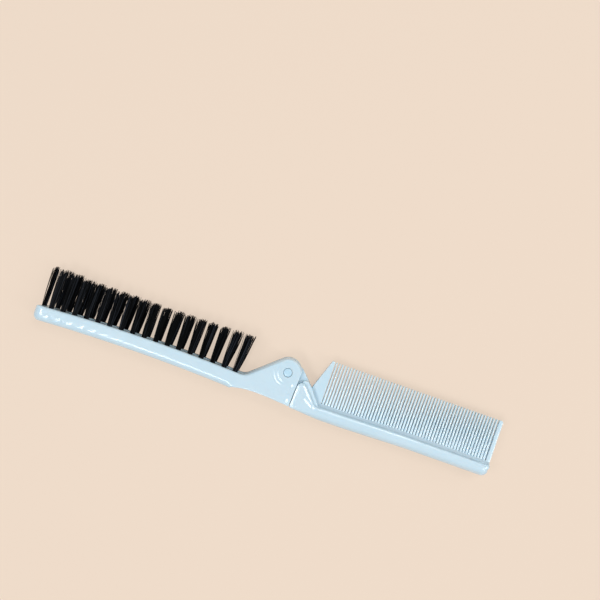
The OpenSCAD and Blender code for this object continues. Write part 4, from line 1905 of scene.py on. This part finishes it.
    def build_one(self, name: str, x: float, z: float, seed: int, lean: float,
                  group: bpy.types.NodeTree, finish: Finish) -> None:
        """Builds and dresses one tuft.

        Args:
            name: Name of the CAD node that it replaces.
            x: Its place along the brush.
            z: Its place along the pin.
            seed: Makes its strands differ from the other tufts'.
            lean: Angle towards the comb, in degrees.
            group: The tree that plants the strands.
            finish: The material.
        """
        foot = self.layout.top_at(x) - self.sink
        fan_x = mix(self.fan_x, self.wide_fan_x, ease(self.wide_from_x, self.layout.last_x, x))
        uneven = noise.noise(Vector((seed * 0.73, 0.4, 1.9)))
        lean += self.lean_spread * noise.noise(Vector((seed * 0.61, 5.2, 0.3)))
        length = self.reach(x) - self.uneven * abs(uneven) - foot
        mesh = bpy.data.meshes.new(name)
        shell = self.strand()
        mesh.from_pydata(shell.points, [], shell.faces)
        piece = link(name.replace("_tuft", "_bristles"), mesh)
        sizes = {
            "Strand width": self.strand_d, "Root radius": self.root_r, "Length": length,
            "Ragged ends": self.ragged, "Fan along": self.end_fan_x if name == "end_tuft" else fan_x,
            "Fan across": self.fan_z, "Lean": length * math.tan(math.radians(lean)), "Bow": self.bow,
            "Belly": self.belly, "Stray": self.stray}
        fill(piece, group, {
            **{label: size * MM for label, size in sizes.items()},
            "Place": Vector((x, foot, z)) * MM + HINGE, "Number of strands": self.strand_n,
            "Seed": seed, "Finish": finish})
        settle(piece)
        root = self.root(x, z)
        work = bmesh.new()
        work.from_mesh(piece.data)
        work.from_mesh(root.data)
        bmesh.ops.recalc_face_normals(work, faces=work.faces)
        work.to_mesh(piece.data)
        work.free()
        discard(root)
        smooth(piece)
        place(piece, finish, Body.BRUSH, Slot.NYLON, name)

    def build(self, finish: Finish) -> None:
        """Builds and dresses every tuft.

        Args:
            finish: Their material.
        """
        lay = self.layout
        group = self.tree()
        for row, (side, z) in enumerate(lay.rows.items()):
            for i in range(1, lay.tuft_n + 1):
                self.build_one(f"{side}_tuft_{i:02d}", lay.tuft_x(i), z, i + row * lay.tuft_n,
                               lay.tuft_lean(i), group, finish)
        self.build_one("end_tuft", lay.end_tuft_x, BODY_T / 2, self.end_seed, 0.0, group, finish)


@dataclass(frozen=True)
class Lamp:
    """One soft lamp.

    Attributes:
        name: Its name.
        spot: Where it hangs, in metres.
        target: What it points at, in metres.
        size: Its width and height, in metres.
        power: Its power, in watts.
    """

    name: str
    spot: tuple[float, float, float]
    target: tuple[float, float, float]
    size: tuple[float, float]
    power: float

    def build(self) -> None:
        """Hangs the lamp."""
        light = bpy.data.lights.new(self.name, "AREA")
        light.shape = "RECTANGLE"
        light.size, light.size_y = self.size
        light.energy = self.power
        made = link(self.name, light)
        made.location = self.spot
        aim = Vector(self.target) - Vector(self.spot)
        made.rotation_euler = aim.to_track_quat("-Z", "Y").to_euler()


@dataclass
class Studio:
    """Floor, light and camera."""

    backdrop: Colour = srgb(237, 218, 200)
    floor_z: float = -0.0002
    floor_size: float = 6.0
    shown: float = 0.7
    air: float = 0.38
    air_tint: Colour = (0.96, 0.98, 1.0, 1.0)
    turn: float = 19.5
    lens: float = 41.4
    sensor_w: float = 36.0
    nearest: float = 0.005
    eye: tuple[float, float, float] = (0.00239, 0.0299, 0.2759)
    lamps: tuple[Lamp, ...] = (
        Lamp("near_strip", (-0.155, -0.35, 0.9), (-0.02, 0.0, 0.0), (0.39, 0.17), 2.6),
        Lamp("far_strip", (0.19, 0.42, 0.9), (0.02, 0.0, 0.0), (0.26, 0.24), 1.7),
        Lamp("left_strip", (-0.55, -0.13, 0.9), (0.0, 0.0, 0.0), (0.2, 0.2), 1.5),
        Lamp("right_strip", (0.8, -0.1, 0.8), (0.0, 0.0, 0.0), (0.14, 0.7), 2.2),
        Lamp("far_fill", (0.65, 0.65, 0.7), (0.0, 0.0, 0.0), (0.8, 0.6), 2.0),
    )

    def floor(self) -> None:
        """Lays the pale floor, which shows its own colour and keeps the object's shadow."""
        half = self.floor_size / 2
        mesh = bpy.data.meshes.new("floor")
        corners = [(-half, -half), (half, -half), (half, half), (-half, half)]
        mesh.from_pydata([(x, y, self.floor_z) for x, y in corners], [], [(0, 1, 2, 3)])
        material, tree = new_material("floor_paper")
        paper = tree.node("ShaderNodeBsdfDiffuse", {"Color": self.backdrop}).outputs[0]
        glow = tree.node("ShaderNodeEmission", {"Color": self.backdrop, "Strength": 1.0}).outputs[0]
        share = tree.math("MULTIPLY", tree.seen(), self.shown)
        both = tree.node("ShaderNodeMixShader", {0: share, 1: paper, 2: glow}).outputs[0]
        tree.node("ShaderNodeOutputMaterial", {"Surface": both})
        mesh.materials.append(material)
        floor = link("floor", mesh)

    def world(self) -> None:
        """Fills the room with even light, and shows the backdrop's colour to the camera."""
        world = bpy.data.worlds.new("room")
        bpy.context.scene.world = world
        world.use_nodes = True
        tree = Tree(world.node_tree)
        air = tree.node("ShaderNodeBackground", {"Color": self.air_tint, "Strength": self.air}).outputs[0]
        wall = tree.node("ShaderNodeBackground", {"Color": self.backdrop, "Strength": 1.0}).outputs[0]
        both = tree.node("ShaderNodeMixShader", {0: tree.seen(), 1: air, 2: wall}).outputs[0]
        tree.node("ShaderNodeOutputWorld", {"Surface": both})

    def camera(self) -> None:
        """Sets the camera over the object, at the photograph's angle."""
        data = bpy.data.cameras.new("camera")
        data.lens = self.lens
        data.sensor_width = self.sensor_w
        data.clip_start = self.nearest
        made = link("camera", data)
        made.location = self.eye
        made.rotation_euler = (0.0, 0.0, math.radians(self.turn))
        bpy.context.scene.camera = made

    def build(self) -> None:
        """Sets up the whole studio."""
        self.camera()
        self.floor()
        self.world()
        for lamp in self.lamps:
            lamp.build()
        bpy.context.scene.view_settings.view_transform = "Standard"
        log.info("studio: floor, room, %d lamps and camera", len(self.lamps))


def main() -> None:
    """Builds the studio and every piece."""
    logging.basicConfig(level=logging.INFO, format="%(name)s: %(message)s")
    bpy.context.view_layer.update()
    Studio().build()
    plastic = MouldedPlastic("pale_moulding", srgb(204, 225, 236), srgb(200, 223, 235)).build()
    pin = MouldedPlastic("pin_moulding", srgb(192, 224, 242), srgb(186, 219, 238), 0.26).build()
    BrushBody().build(plastic)
    CombBody().build(plastic)
    HingePin().build(pin)
    Tufts().build(Nylon().build())
    anchors = frame["nodes"]["tuft_anchors"]
    anchors.data.materials.clear()
    anchors.data.materials.append(AnchorMetal().build())

if __name__ == "__main__":
    main()
